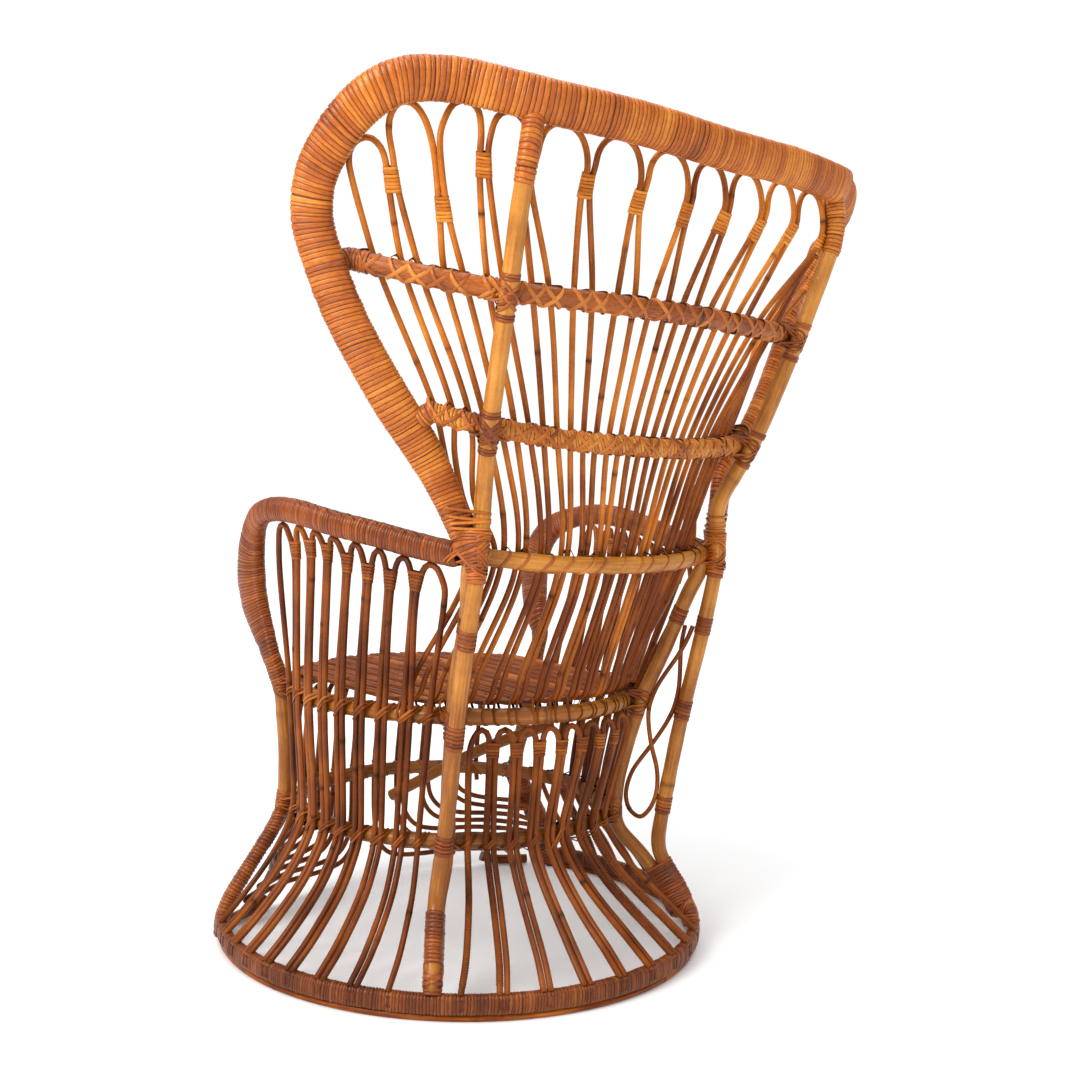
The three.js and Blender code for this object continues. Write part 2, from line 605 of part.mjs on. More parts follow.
// from the top of upright j down and round into its run
function down(j) {
  const x = uprights[j];
  const z = 41 + RUN_STEP * j;
  const bend = Math.min(62, WAIST_Z - 22 - z);
  return [
    between(x, 318), between(x + 0.6, 250), F(x + 0.8, WAIST_Z), F(x + 2.5, z + bend), F(x + 9, z + bend * 0.48),
    F(x + 26, z + bend * 0.14), F(x + 52, z), F(lerp(x + 52, runEnd[j], 0.55), z), F(runEnd[j] - 9, z),
  ];
}
const fan = [S(0, 347), S(8.5, 343)];
for (let j = 0; j < 8; j += 2) {
  const turn = [F(runEnd[j] - 1, 41 + RUN_STEP * (j + 0.2)), F(runEnd[j] + 1, 41 + RUN_STEP * (j + 0.5)),
    F(runEnd[j + 1] - 1, 41 + RUN_STEP * (j + 0.8))];
  fan.push(...down(j), ...turn, ...down(j + 1).reverse());
  const [a, b] = [uprights[j + 1], uprights[j + 2]];
  if (j < 6) fan.push(S(lerp(a, b, 0.24), 341), S(lerp(a, b, 0.5), 347), S(lerp(a, b, 0.76), 341));
  else fan.push(S(152, 341), S(159, 346), S(166, 341), between(172, 318), between(173, 250), F(174, WAIST_Z), F(176, 168));
}
const serpentine = laid([...mirrored(fan.slice(1)).reverse(), ...fan], { tolerance: 1.9, longest: 200 });
const frontRim = laid(
  [F(280, FLOOR + 9.5), F(262, FLOOR + 9.5), F(240, FLOOR + 9.5), F(222, FLOOR + 12), F(207, FLOOR + 17)],
  { tolerance: 0.9, longest: 160 },
);
const spacer = [F(214, FLOOR + 14), F(214, 41)];
add(
  cage,
  "front_fan",
  fuse(
    cane(serpentine, 4),
    ...[(p) => p, mirrored].flatMap((m) => [cane(m(spacer)), pole(FRONT_RIM_R, m(frontRim), 6)]),
  ),
  CANE,
  0.45,
);

// ---- figure-eight filling between post and inner leg ---------------------------------------------------------------
const innerAt = (z) => {
  for (let i = 1; i < innerLeg.length; i++)
    if (innerLeg[i].z <= z)
      return innerLeg[i - 1].clone().lerp(innerLeg[i], (z - innerLeg[i - 1].z) / (innerLeg[i].z - innerLeg[i - 1].z));
  return innerLeg.at(-1).clone();
};
function eight() {
  // two strands from post and inner leg that cross twice on the way down and join in a loop below
  const heights = [478, 459, 438, 412, 385, 352, 324, 301, 279, 250, 222, 203, 193];
  const swing = [0.95, 0.5, 0, -0.62, -1, -0.95, -0.5, 0, 0.52, 0.95, 1, 0.72, 0.25];
  const strand = (sign) =>
    heights.map((z, i) => {
      const a = postAt(z);
      const b = innerAt(z);
      const across = b.clone().sub(a);
      const free = Math.max(across.length() - 2 * POST_R - 2 * EIGHT_R - 1.6, 2) / 2;
      const mid = a.clone().add(b).multiplyScalar(0.5);
      across.normalize();
      const side = V(1, 0, 0).addScaledVector(across, -across.x).normalize();
      const cross = Math.abs(swing[i]) < 0.3 ? 3.9 : 2.2;
      return mid.addScaledVector(across, sign * swing[i] * free).addScaledVector(side, sign * cross);
    });
  return laid([...strand(1), ...strand(-1).reverse()], { tolerance: 1.1, longest: 120 });
}
const eightLine = eight();
addPair(cage, "figure_eight", (m) => cane(m(eightLine), EIGHT_R, 5), CANE, 0.45);

// ---- brace under the seat -----------------------------------------------------------------------------------------------
add(
  frame,
  "seat_brace",
  pole(BRACE_R, laid([V(88, -60, 203), V(52, 0, 245), V(15, 70, 290), V(-24, 168, 338)], { longest: 140 })),
  PEELED,
  0.5,
);

export default chair;
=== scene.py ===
import math

import bpy
import numpy as np
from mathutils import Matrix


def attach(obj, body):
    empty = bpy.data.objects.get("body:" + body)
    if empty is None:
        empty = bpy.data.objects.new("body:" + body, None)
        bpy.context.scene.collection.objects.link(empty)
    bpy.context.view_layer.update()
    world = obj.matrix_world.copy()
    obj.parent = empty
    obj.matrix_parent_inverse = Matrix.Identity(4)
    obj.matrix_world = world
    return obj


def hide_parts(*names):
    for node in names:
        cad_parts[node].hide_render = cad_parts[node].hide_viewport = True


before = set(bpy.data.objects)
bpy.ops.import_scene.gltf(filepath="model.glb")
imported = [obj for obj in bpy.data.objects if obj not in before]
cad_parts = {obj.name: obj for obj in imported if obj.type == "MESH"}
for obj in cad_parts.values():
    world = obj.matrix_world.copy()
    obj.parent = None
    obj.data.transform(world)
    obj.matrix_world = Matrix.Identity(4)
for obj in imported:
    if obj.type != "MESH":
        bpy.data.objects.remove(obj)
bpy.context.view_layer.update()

# Everything is in metres in the frame of the solids: +Z up, the sitter faces -Y, +X is the
# sitter's left. The layout points below are millimetres before this shift.
SHIFT = np.array([0.0, -108.8, -9.0])
rng = np.random.default_rng(7)


def at(x, y, z):
    return (np.array([x, y, z], float) + SHIFT) / 1000.0


def unit(v):
    v = np.asarray(v, float)
    return v / max(np.linalg.norm(v), 1e-12)


MIRROR = np.array([-1.0, 1.0, 1.0])

# ------------------------------------------------------------------ centre lines of the solids


def weld(node):
    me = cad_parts[node].data
    co = np.empty(len(me.vertices) * 3, np.float32)
    me.vertices.foreach_get("co", co)
    co = co.reshape(-1, 3).astype(float)
    me.calc_loop_triangles()
    tri = np.empty(len(me.loop_triangles) * 3, np.int32)
    me.loop_triangles.foreach_get("vertices", tri)
    key = np.round(co * 2e4).astype(np.int64)
    _, first, inverse = np.unique(key, axis=0, return_index=True, return_inverse=True)
    return co[first], inverse.reshape(-1)[tri].reshape(-1, 3)


def rings_of(node, sides):
    """The rings of vertices of a swept solid, from one end to the other."""
    pos, tri = weld(node)
    near = [set() for _ in pos]
    at_vertex = [[] for _ in pos]
    for k, (a, b, c) in enumerate(tri):
        near[a] |= {b, c}
        near[b] |= {a, c}
        near[c] |= {a, b}
        for v in (a, b, c):
            at_vertex[v].append(k)

    def spread(start):
        layer = np.full(len(pos), -1)
        layer[list(start)] = 0
        now = list(start)
        d = 0
        while now:
            d += 1
            after = []
            for v in now:
                for w in near[v]:
                    if layer[w] < 0:
                        layer[w] = d
                        after.append(w)
            now = after
        return layer

    normal = np.cross(pos[tri[:, 1]] - pos[tri[:, 0]], pos[tri[:, 2]] - pos[tri[:, 0]])
    area = np.linalg.norm(normal, axis=1)
    normal /= area[:, None] + 1e-15
    tip = int(np.argmax(spread([0])))
    best = None
    for k in at_vertex[tip]:
        patch, todo = {k}, [k]
        while todo:
            j = todo.pop()
            for v in tri[j]:
                for m in at_vertex[v]:
                    if m not in patch and normal[m] @ normal[k] > 0.99995:
                        shared = len(set(tri[m]) & set(tri[j]))
                        if shared == 2:
                            patch.add(m)
                            todo.append(m)
        verts = set(int(v) for j in patch for v in tri[j])
        if len(verts) == sides:
            size = np.ptp(pos[list(verts)], axis=0).max()
            if best is None or size < best[0]:
                best = (size, verts)
    if best is None:
        raise RuntimeError("no end face found on " + node)
    layer = spread(best[1])
    return [pos[layer == k] for k in range(layer.max() + 1)]


def spine(node, sides):
    return np.array([r.mean(0) for r in rings_of(node, sides)])


def smooth(points, step, ends=True):
    """Centripetal Catmull-Rom curve through the points, resampled at an even step."""
    p = np.asarray(points, float)
    if len(p) > 2:
        q = np.vstack([2 * p[0] - p[1], p, 2 * p[-1] - p[-2]])
        out = []
        for i in range(1, len(q) - 2):
            p0, p1, p2, p3 = q[i - 1], q[i], q[i + 1], q[i + 2]
            t0 = 0.0
            t1 = t0 + np.linalg.norm(p1 - p0) ** 0.5
            t2 = t1 + np.linalg.norm(p2 - p1) ** 0.5
            t3 = t2 + np.linalg.norm(p3 - p2) ** 0.5
            t = np.linspace(t1, t2, 13)[:-1, None]
            a1 = (t1 - t) / (t1 - t0) * p0 + (t - t0) / (t1 - t0) * p1
            a2 = (t2 - t) / (t2 - t1) * p1 + (t - t1) / (t2 - t1) * p2
            a3 = (t3 - t) / (t3 - t2) * p2 + (t - t2) / (t3 - t2) * p3
            b1 = (t2 - t) / (t2 - t0) * a1 + (t - t0) / (t2 - t0) * a2
            b2 = (t3 - t) / (t3 - t1) * a2 + (t - t1) / (t3 - t1) * a3
            out.append((t2 - t) / (t2 - t1) * b1 + (t - t1) / (t2 - t1) * b2)
        out.append(p[-1:])
        p = np.vstack(out)
    s = np.concatenate([[0], np.cumsum(np.linalg.norm(np.diff(p, axis=0), axis=1))])
    n = max(int(round(s[-1] / step)), 2)
    grid = np.linspace(0, s[-1], n + 1)
    return np.stack([np.interp(grid, s, p[:, k]) for k in range(3)], 1)


def lengths(p):
    return np.concatenate([[0], np.cumsum(np.linalg.norm(np.diff(p, axis=0), axis=1))])


def tangents(p):
    t = np.gradient(p, axis=0)
    return t / np.linalg.norm(t, axis=1)[:, None]


def frames(p, start=None):
    """Tangent and two cross axes that turn as little as they can."""
    t = tangents(p)
    x = np.empty_like(p)
    a = np.array(start if start is not None else ([0, 0, 1] if abs(t[0][2]) < 0.8 else [0, 1, 0]), float)
    for i in range(len(p)):
        a = a - (a @ t[i]) * t[i]
        a /= np.linalg.norm(a)
        x[i] = a
    return t, x, np.cross(t, x)


def led(p, guide):
    """Tangent and cross axes where the first cross axis keeps to guide[i]."""
    t = tangents(p)
    x = guide - np.sum(guide * t, 1)[:, None] * t
    x /= np.linalg.norm(x, axis=1)[:, None]
    return t, x, np.cross(t, x)


# ------------------------------------------------------------------------------- mesh building


class Builder:
    """Collects closed strips of quads, with the numbers that the materials read."""

    def __init__(self):
        self.co, self.quads, self.fans = [], [], []
        self.grain, self.tone, self.dark = [], [], []
        self.strip = []
        self.n = 0

    def grid(self, rows, grain, tone, dark, strip=None, cap=True, close=False):
        """rows is [ring][point][xyz]; neighbouring rings are joined."""
        rows = np.asarray(rows, float)
        m, k = rows.shape[:2]
        base = self.n
        self.co.append(rows.reshape(-1, 3))
        self.grain.append(np.broadcast_to(grain, (m, k, 3)).reshape(-1, 3))
        self.tone.append(np.broadcast_to(tone, (m, k)).reshape(-1))
        self.dark.append(np.broadcast_to(dark, (m, k)).reshape(-1))
        self.n += m * k
        idx = base + np.arange(m * k).reshape(m, k)
        nxt = np.roll(idx, -1, axis=1)
        last = m if close else m - 1
        a = idx[:last]
        b = np.roll(idx, -1, axis=0)[:last]
        c = np.roll(nxt, -1, axis=0)[:last]
        d = nxt[:last]
        q = np.stack([a, d, c, b], -1).reshape(-1, 4)
        self.quads.append(q)
        s = np.zeros(last) if strip is None else np.asarray(strip, float)[:last]
        self.strip.append(np.repeat(s, k))
        if cap and not close:
            self.fans.append((idx[0][::-1], s[0]))
            self.fans.append((idx[-1], s[-1]))

    def tube(self, p, radius, sides=10, tone=0.5, dark=0.0, start=None, fr=None):
        t, x, y = fr if fr is not None else frames(p, start)
        ang = np.linspace(0, 2 * math.pi, sides, endpoint=False)
        r = np.broadcast_to(radius, len(p))[:, None, None]
        rows = p[:, None] + r * (np.cos(ang)[None, :, None] * x[:, None] + np.sin(ang)[None, :, None] * y[:, None])
        s = lengths(p)
        seed = rng.random() * 7
        g = np.stack(
            [
                np.broadcast_to(np.cos(ang)[None] * 4.0, (len(p), sides)),
                np.broadcast_to(np.sin(ang)[None] * 4.0, (len(p), sides)),
                np.broadcast_to(s[:, None] * 1000 / 9 + seed * 20, (len(p), sides)),
            ],
            -1,
        )
        d = np.broadcast_to(np.asarray(dark, float).reshape(-1, 1), (len(p), sides)) if np.ndim(dark) else dark
        self.grid(rows, g, tone, d)

    def object(self, name, material, slot_name, flat=False):
        co = np.vstack(self.co)
        quads = np.vstack(self.quads) if self.quads else np.zeros((0, 4), int)
        fans = self.fans
        me = bpy.data.meshes.new(name)
        loops = [quads.reshape(-1)] + [np.asarray(f[0]) for f in fans]
        sizes = np.concatenate([np.full(len(quads), 4), [len(f[0]) for f in fans]]).astype(int)
        loops = np.concatenate(loops).astype(np.int32)
        me.vertices.add(len(co))
        me.vertices.foreach_set("co", co.astype(np.float32).reshape(-1))
        me.loops.add(len(loops))
        me.loops.foreach_set("vertex_index", loops)
        me.polygons.add(len(sizes))
        starts = np.concatenate([[0], np.cumsum(sizes)[:-1]]).astype(np.int32)
        me.polygons.foreach_set("loop_start", starts)
        me.polygons.foreach_set("loop_total", sizes.astype(np.int32))
        smooth_faces = np.ones(len(sizes), bool)
        smooth_faces[len(quads):] = False
        me.polygons.foreach_set("use_smooth", smooth_faces)
        me.update(calc_edges=True)
        me.validate()
        a = me.attributes.new("grain", "FLOAT_VECTOR", "POINT")
        a.data.foreach_set("vector", np.vstack(self.grain).astype(np.float32).reshape(-1))
        a = me.attributes.new("tone", "FLOAT", "POINT")
        a.data.foreach_set("value", np.concatenate(self.tone).astype(np.float32))
        a = me.attributes.new("dark", "FLOAT", "POINT")
        a.data.foreach_set("value", np.concatenate(self.dark).astype(np.float32))
        a = me.attributes.new("strip", "FLOAT", "FACE")
        values = np.concatenate(self.strip + [np.array([f[1] for f in fans], float)])
        a.data.foreach_set("value", values.astype(np.float32))
        me.materials.append(material)
        o = bpy.data.objects.new(name, me)
        bpy.context.scene.collection.objects.link(o)
        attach(o, "root")
        return o


def ribbon(b, path, out, width, thick, tone, closed=True, across=None, dark=0.0):
    """A flat strip of peel along a path; out is the outward direction at each point."""
    p = np.asarray(path, float)
    if closed:
        t = np.roll(p, -1, 0) - np.roll(p, 1, 0)
        t /= np.linalg.norm(t, axis=1)[:, None]
    else:
        t = tangents(p)
    o = out - np.sum(out * t, 1)[:, None] * t
    o /= np.linalg.norm(o, axis=1)[:, None]
    w = np.cross(t, o)
    w_half = np.broadcast_to(width, len(p))[:, None] / 2
    th = thick
    section = [(-1.0, 0.0), (-0.86, 0.75), (0.0, 1.0), (0.86, 0.75), (1.0, 0.0), (0.0, -0.25)]
    rows = np.stack([p + u * w_half * w + v * th * o for u, v in section], 1)
    s = lengths(p) if not closed else np.concatenate([[0], np.cumsum(np.linalg.norm(np.diff(p, axis=0), axis=1))])
    seed = rng.random() * 50
    g = np.stack(
        [
            np.broadcast_to(np.array([u * 4 for u, _ in section])[None], (len(p), 6)),
            np.full((len(p), 6), seed),
            np.broadcast_to(s[:, None] * 1000 / 9, (len(p), 6)),
        ],
        -1,
    )
    # painted shade along both edges and on the underside of the strip, where it lies on what it binds; dark adds the
    # strip's own darker colour on top
    edge = np.array([0.9, 0.15, 0.0, 0.15, 0.9, 1.0])[None] + dark
    b.grid(rows, g, tone, np.clip(np.broadcast_to(edge, (len(p), 6)), 0, 1), strip=np.full(len(p), rng.random()), close=closed)


def hull2d(points):
    pts = sorted(set(map(tuple, np.round(points, 7))))
    def half(seq):
        h = []
        for q in seq:
            while len(h) > 1 and (h[-1][0] - h[-2][0]) * (q[1] - h[-2][1]) - (h[-1][1] - h[-2][1]) * (q[0] - h[-2][0]) <= 0:
                h.pop()
            h.append(q)
        return h
    lo, hi = half(pts), half(pts[::-1])
    return np.array(lo[:-1] + hi[:-1])


def lash(b, rods, origin, w, width=0.0042, thick=0.0009, tone=0.5, steps=30, lift=0.0002, dark=0.0):
    """One closed turn of peel round rods, in the plane through origin square to w."""
    w = unit(w)
    e1 = unit(np.cross(w, [0.31, 0.2, 0.93]))
    e2 = np.cross(w, e1)
    flat = []
    for point, direction, r in rods:
        d = unit(direction)
        a = unit(np.cross(d, [0.3, 0.8, 0.52]))
        c = np.cross(d, a)
        for phi in np.linspace(0, 2 * math.pi, 20, endpoint=False):
            q = point + (r + lift) * (math.cos(phi) * a + math.sin(phi) * c)
            lam = -((q - origin) @ w) / (d @ w if abs(d @ w) > 0.05 else 0.05)
            lam = min(max(lam, -2.6 * r - 0.003), 2.6 * r + 0.003)
            q = q + lam * d
            flat.append(((q - origin) @ e1, (q - origin) @ e2))
    h = hull2d(np.array(flat))
    loop = np.vstack([h, h[:1]])
    s = np.concatenate([[0], np.cumsum(np.linalg.norm(np.diff(loop, axis=0), axis=1))])
    grid = np.linspace(0, s[-1], steps, endpoint=False)
    xy = np.stack([np.interp(grid, s, loop[:, k]) for k in range(2)], 1)
    # round the hull's corners a little
    xy = 0.5 * xy + 0.25 * (np.roll(xy, 1, 0) + np.roll(xy, -1, 0))
    t = np.roll(xy, -1, 0) - np.roll(xy, 1, 0)
    n = np.stack([t[:, 1], -t[:, 0]], 1)
    n /= np.linalg.norm(n, axis=1)[:, None]
    path = origin + xy[:, :1] * e1 + xy[:, 1:] * e2
    out = n[:, :1] * e1 + n[:, 1:] * e2
    ribbon(b, path, out, width, thick, tone, closed=True, dark=dark)


def binding(b, rods, origin, axis, turns, pitch, width, thick=0.0009, tone=0.5, tilt=0.06, steps=26, lift=0.0002):
    """Turns of peel side by side along axis, each a little askew."""
    axis = unit(axis)
    side = unit(np.cross(axis, [0.2, 0.9, 0.3]))
    for k in range(turns):
        shift = (k - (turns - 1) / 2) * pitch
        w = axis + side * (tilt * (1 + 0.4 * rng.normal())) + np.cross(axis, side) * (0.02 * rng.normal())
        lash(b, rods, origin + axis * shift, w, width * (1 + 0.06 * rng.normal()), thick * (1 + 0.2 * rng.random()),
             tone + 0.12 * rng.normal(), steps, lift)


def spiral(b, p, radius, s0, s1, pitch, width, thick, tone, turn=1, phase=0.0, per=18, oval=None, fr=None):
    """A strip that winds along a path between the arc lengths s0 and s1."""
    s = lengths(p)
    t, x, y = fr if fr is not None else frames(p)
    total = abs(s1 - s0) / pitch * 2 * math.pi
    n = max(int(per * total / (2 * math.pi)), 8)
    u = np.linspace(0, 1, n)
    ss = s0 + (s1 - s0) * u
    c = np.stack([np.interp(ss, s, p[:, k]) for k in range(3)], 1)
    xx = np.stack([np.interp(ss, s, x[:, k]) for k in range(3)], 1)
    yy = np.stack([np.interp(ss, s, y[:, k]) for k in range(3)], 1)
    th = turn * total * u + phase
    if oval is None:
        ox, oy = np.cos(th), np.sin(th)
        off = radius * (ox[:, None] * xx + oy[:, None] * yy)
        out = off
    else:
        a, c2, e = oval
        px, py = superellipse(th, a, c2, e)
        off = px[:, None] * xx + py[:, None] * yy
        out = (np.cos(th) / a)[:, None] * xx + (np.sin(th) / c2)[:, None] * yy
    ribbon(b, c + off, out, width, thick, tone, closed=False)


def superellipse(th, a, c, e):
    cx, sy = np.cos(th), np.sin(th)
    return a * np.sign(cx) * np.abs(cx) ** (2 / e), c * np.sign(sy) * np.abs(sy) ** (2 / e)


def wound(b, p, fr, oval, strip=0.0062, around=30, tone=0.5, slant=0.0025, s0=0.0, s1=None, taper=None, ridge=0.00035, groove=0.0011, lift=0.0, wave=0.3):
    """A bundle close-wound with peel: every strip is a low ridge between two grooves, and the grooves are painted
    dark as shade.
    """
    s = lengths(p)
    t, x, y = fr
    s1 = s[-1] if s1 is None else s1
    cuts = [s0]
    while cuts[-1] < s1 - strip * 0.6:
        cuts.append(cuts[-1] + strip * (1 + 0.2 * (2 * rng.random() - 1)))
    cuts = np.array(cuts) * 1.0
    cuts = s0 + (cuts - s0) * (s1 - s0) / (cuts[-1] - s0)
    n = len(cuts) - 1
    # darkness paints shade into the grooves between the strips
    fractions = np.array([0.0, 0.10, 0.3, 0.7, 0.90])
    heights = np.array([-groove, -0.00012, ridge, ridge * 0.9, -0.00015])
    darkness = np.array([1.0, 0.25, 0.0, 0.0, 0.3])
    ss, hh, dd, st, sl = [], [], [], [], []
    k = 0
    slants = slant * (1 + 0.8 * np.sin(np.arange(n + 1) * 0.11 + rng.random() * 6)) + 0.0006 * rng.normal(size=n + 1)
    for i in range(n):
        w = cuts[i + 1] - cuts[i]
        up = 0.00018 * rng.normal()
        wide = rng.random() < 0.07
        r = rng.random()
        for f, h, d in zip(fractions, heights, darkness):
            # a few gaps are wider and deeper, with more painted shade
            if wide and f == 0.10:
                f, d = 0.2, 0.8
                h = -groove * 0.8
            ss.append(cuts[i] + w * f)
            hh.append(h + (up if d < 0.5 else 0))
            dd.append(d)
            st.append(r)
            sl.append(slants[i] * (1 - f) + slants[i + 1] * f)
    ss.append(cuts[-1]); hh.append(-groove); dd.append(1.0); st.append(r); sl.append(slants[-1])
    ss, hh, dd, sl = map(np.array, (ss, hh, dd, sl))
    th = np.linspace(0, 2 * math.pi, around, endpoint=False)
    a, c, e = oval
    px, py = superellipse(th, 1, 1, e)
    # normals of the outline
    S = ss[:, None] + sl[:, None] * np.cos(th - 0.6)[None]
    S = np.clip(S, s0, s1)
    def pick(v):
        return np.stack([np.interp(S, s, v[:, q]) for q in range(3)], -1)
    C, X, Y = pick(p), pick(x), pick(y)
    if taper is None:
        A = np.full(len(ss), a)
        B = np.full(len(ss), c)
    else:
        A, B = taper(ss)
    hump = wave * 0.0006 * np.sin(ss * 31 + 1.3)[:, None] * np.sin(3 * th)[None]
    H = (hh + lift)[:, None] + hump
    ox = px[None] * A[:, None]
    oy = py[None] * B[:, None]
    nx = np.cos(th)[None] / A[:, None]
    ny = np.sin(th)[None] / B[:, None]
    nn = np.sqrt(nx ** 2 + ny ** 2)
    ox = ox + H * nx / nn
    oy = oy + H * ny / nn
    rows = C + ox[..., None] * X + oy[..., None] * Y
    seed = rng.random() * 30
    g = np.stack(
        [
            np.broadcast_to(ss[:, None] * 1000 * 0.9, ox.shape),
            np.broadcast_to(np.cos(th)[None] * 2.2 + seed, ox.shape),
            np.broadcast_to(np.sin(th)[None] * 2.2, ox.shape),
        ],
        -1,
    )
    b.grid(rows, g, tone, np.broadcast_to(dd[:, None], ox.shape), strip=st)


def nodes_along(s, spacing, first=None):
    """Places of the rings that a vine keeps from its leaves."""
    out = []
    q = spacing * (0.3 + rng.random() * 0.9) if first is None else first
    while q < s[-1]:
        out.append(q)
        q += spacing * (0.7 + 0.6 * rng.random())
    return np.array(out)


def vine(b, p, r, sides=10, tone=0.5, spacing=0.23, bump=0.07, start=None, closed_round=False):
    """A cane or pole with its slight swellings and dark rings."""
    s = lengths(p)
    marks = nodes_along(s, spacing)
    rad = np.full(len(p), r)
    dark = np.zeros(len(p))
    wob = rng.random() * 9
    rad = rad * (1 + 0.018 * np.sin(s * 37 + wob) + 0.012 * np.sin(s * 91 + 2 * wob))
    for q in marks:
        rad += r * bump * np.exp(-(((s - q) / (0.9 * r + 0.001)) ** 2))
        dark = np.maximum(dark, np.exp(-(((s - q) / 0.0022) ** 2)))
    b.tube(p, rad, sides, tone, dark, start)
    return s


def nearest(p, q):
    i = int(np.argmin(np.linalg.norm(p - q, axis=1)))
    i = min(max(i, 1), len(p) - 2)
    return p[i], unit(p[i + 1] - p[i - 1])


def crossings(p, z):
    """Where a path crosses a level: points with the direction of the path."""
    out = []
    for i in range(len(p) - 1):
        if (p[i][2] - z) * (p[i + 1][2] - z) < 0:
            f = (z - p[i][2]) / (p[i + 1][2] - p[i][2])
            d = unit(p[i + 1] - p[i])
            out.append((p[i] + f * (p[i + 1] - p[i]), d if d[2] > 0 else -d))
    return out


# ----------------------------------------------------------------------------------- materials


def srgb(r, g, b):
    out = []
    for v in (r, g, b):
        v /= 255.0
        out.append(v / 12.92 if v <= 0.04045 else ((v + 0.055) / 1.055) ** 2.4)
    return (*out, 1.0)


def rattan(name, deep, mid, light, rough, coat, bump, shade_and_mark_colour, streak=(0.35, 0.35, 0.06), blotch=14.0, sheen=0.4, tone_pull=0.5, painted_low_shade=None):
    """Varnished rattan: long fibres, blotches, a tone of its own on each piece and strip."""
    m = bpy.data.materials.new(name)
    m.use_nodes = True
    nt = m.node_tree
    nt.nodes.clear()
    N, L = nt.nodes.new, nt.links.new

    def attribute(key):
        a = N("ShaderNodeAttribute")
        a.attribute_type = "GEOMETRY"
        a.attribute_name = key
        return a

    def math_(op, a, b=None, c=None, clamp=False):
        n = N("ShaderNodeMath")
        n.operation = op
        n.use_clamp = clamp
        for i, v in enumerate((a, b, c)):
            if v is None:
                continue
            if isinstance(v, (int, float)):
                n.inputs[i].default_value = v
            else:
                L(v, n.inputs[i])
        return n.outputs[0]

    out = N("ShaderNodeOutputMaterial")
    p = N("ShaderNodeBsdfPrincipled")
    L(p.outputs[0], out.inputs[0])
    grain, tone, dark, strip = attribute("grain"), attribute("tone"), attribute("dark"), attribute("strip")
    mapping = N("ShaderNodeMapping")
    mapping.inputs["Scale"].default_value = streak
    L(grain.outputs["Vector"], mapping.inputs["Vector"])
    fibre = N("ShaderNodeTexNoise")
    fibre.inputs["Scale"].default_value = 2.4
    fibre.inputs["Detail"].default_value = 5.0
    fibre.inputs["Roughness"].default_value = 0.62
    L(mapping.outputs[0], fibre.inputs["Vector"])
    texco = N("ShaderNodeTexCoord")
    patch = N("ShaderNodeTexNoise")
    patch.inputs["Scale"].default_value = blotch
    patch.inputs["Detail"].default_value = 3.0
    L(texco.outputs["Object"], patch.inputs["Vector"])
    speck = N("ShaderNodeTexNoise")
    speck.inputs["Scale"].default_value = 240.0
    speck.inputs["Detail"].default_value = 2.0
    L(texco.outputs["Object"], speck.inputs["Vector"])
    # one number from all the sources of variation, then a colour ramp
    v = math_("MULTIPLY_ADD", fibre.outputs["Fac"], 0.75, -0.375)
    v = math_("ADD", v, math_("MULTIPLY_ADD", patch.outputs["Fac"], 0.9, -0.45))
    v = math_("ADD", v, math_("MULTIPLY_ADD", tone.outputs["Fac"], tone_pull, -tone_pull / 2))
    v = math_("ADD", v, math_("MULTIPLY_ADD", strip.outputs["Fac"], 0.27, -0.135))
    v = math_("ADD", v, math_("MULTIPLY_ADD", speck.outputs["Fac"], 0.16, -0.08))
    if painted_low_shade is not None:
        # painted shade: the colour darkens towards the bottom of the chair, where the seat and the cage shade the
        # lower parts
        low, high, depth = painted_low_shade
        parts = N("ShaderNodeSeparateXYZ")
        L(texco.outputs["Object"], parts.inputs[0])
        fade = N("ShaderNodeMapRange")
        fade.interpolation_type = "SMOOTHSTEP"
        for key, value in (("From Min", low), ("From Max", high), ("To Min", -depth), ("To Max", 0.0)):
            fade.inputs[key].default_value = value
        L(parts.outputs["Z"], fade.inputs["Value"])
        v = math_("ADD", v, fade.outputs["Result"])
    v = math_("ADD", v, 0.5, clamp=True)
    ramp = N("ShaderNodeValToRGB")
    ramp.color_ramp.elements[0].position = 0.12
    ramp.color_ramp.elements[0].color = deep
    ramp.color_ramp.elements[1].position = 0.9
    ramp.color_ramp.elements[1].color = light
    e = ramp.color_ramp.elements.new(0.5)
    e.color = mid
    L(v, ramp.inputs["Fac"])
    # the dark attribute pulls the colour toward the darkest brown: painted shade in the grooves and along the strip
    # edges, and the real dark rings at the nodes and the dark stitches
    shade = N("ShaderNodeMix")
    shade.data_type = "RGBA"
    L(math_("MULTIPLY", math_("POWER", dark.outputs["Fac"], 1.5), 0.92), shade.inputs["Factor"])
    L(ramp.outputs["Color"], shade.inputs["A"])
    shade.inputs["B"].default_value = shade_and_mark_colour
    L(shade.outputs["Result"], p.inputs["Base Color"])
    r = math_("MULTIPLY_ADD", fibre.outputs["Fac"], 0.28, rough - 0.14)
    r = math_("MULTIPLY_ADD", dark.outputs["Fac"], 0.35, r, clamp=True)
    L(r, p.inputs["Roughness"])
    p.inputs["Coat Weight"].default_value = coat
    p.inputs["Coat Roughness"].default_value = 0.16
    p.inputs["Specular IOR Level"].default_value = sheen
    bm = N("ShaderNodeBump")
    bm.inputs["Strength"].default_value = bump
    bm.inputs["Distance"].default_value = 0.0006
    L(math_("ADD", fibre.outputs["Fac"], math_("MULTIPLY", speck.outputs["Fac"], 0.25)), bm.inputs["Height"])
    L(bm.outputs[0], p.inputs["Normal"])
    return m


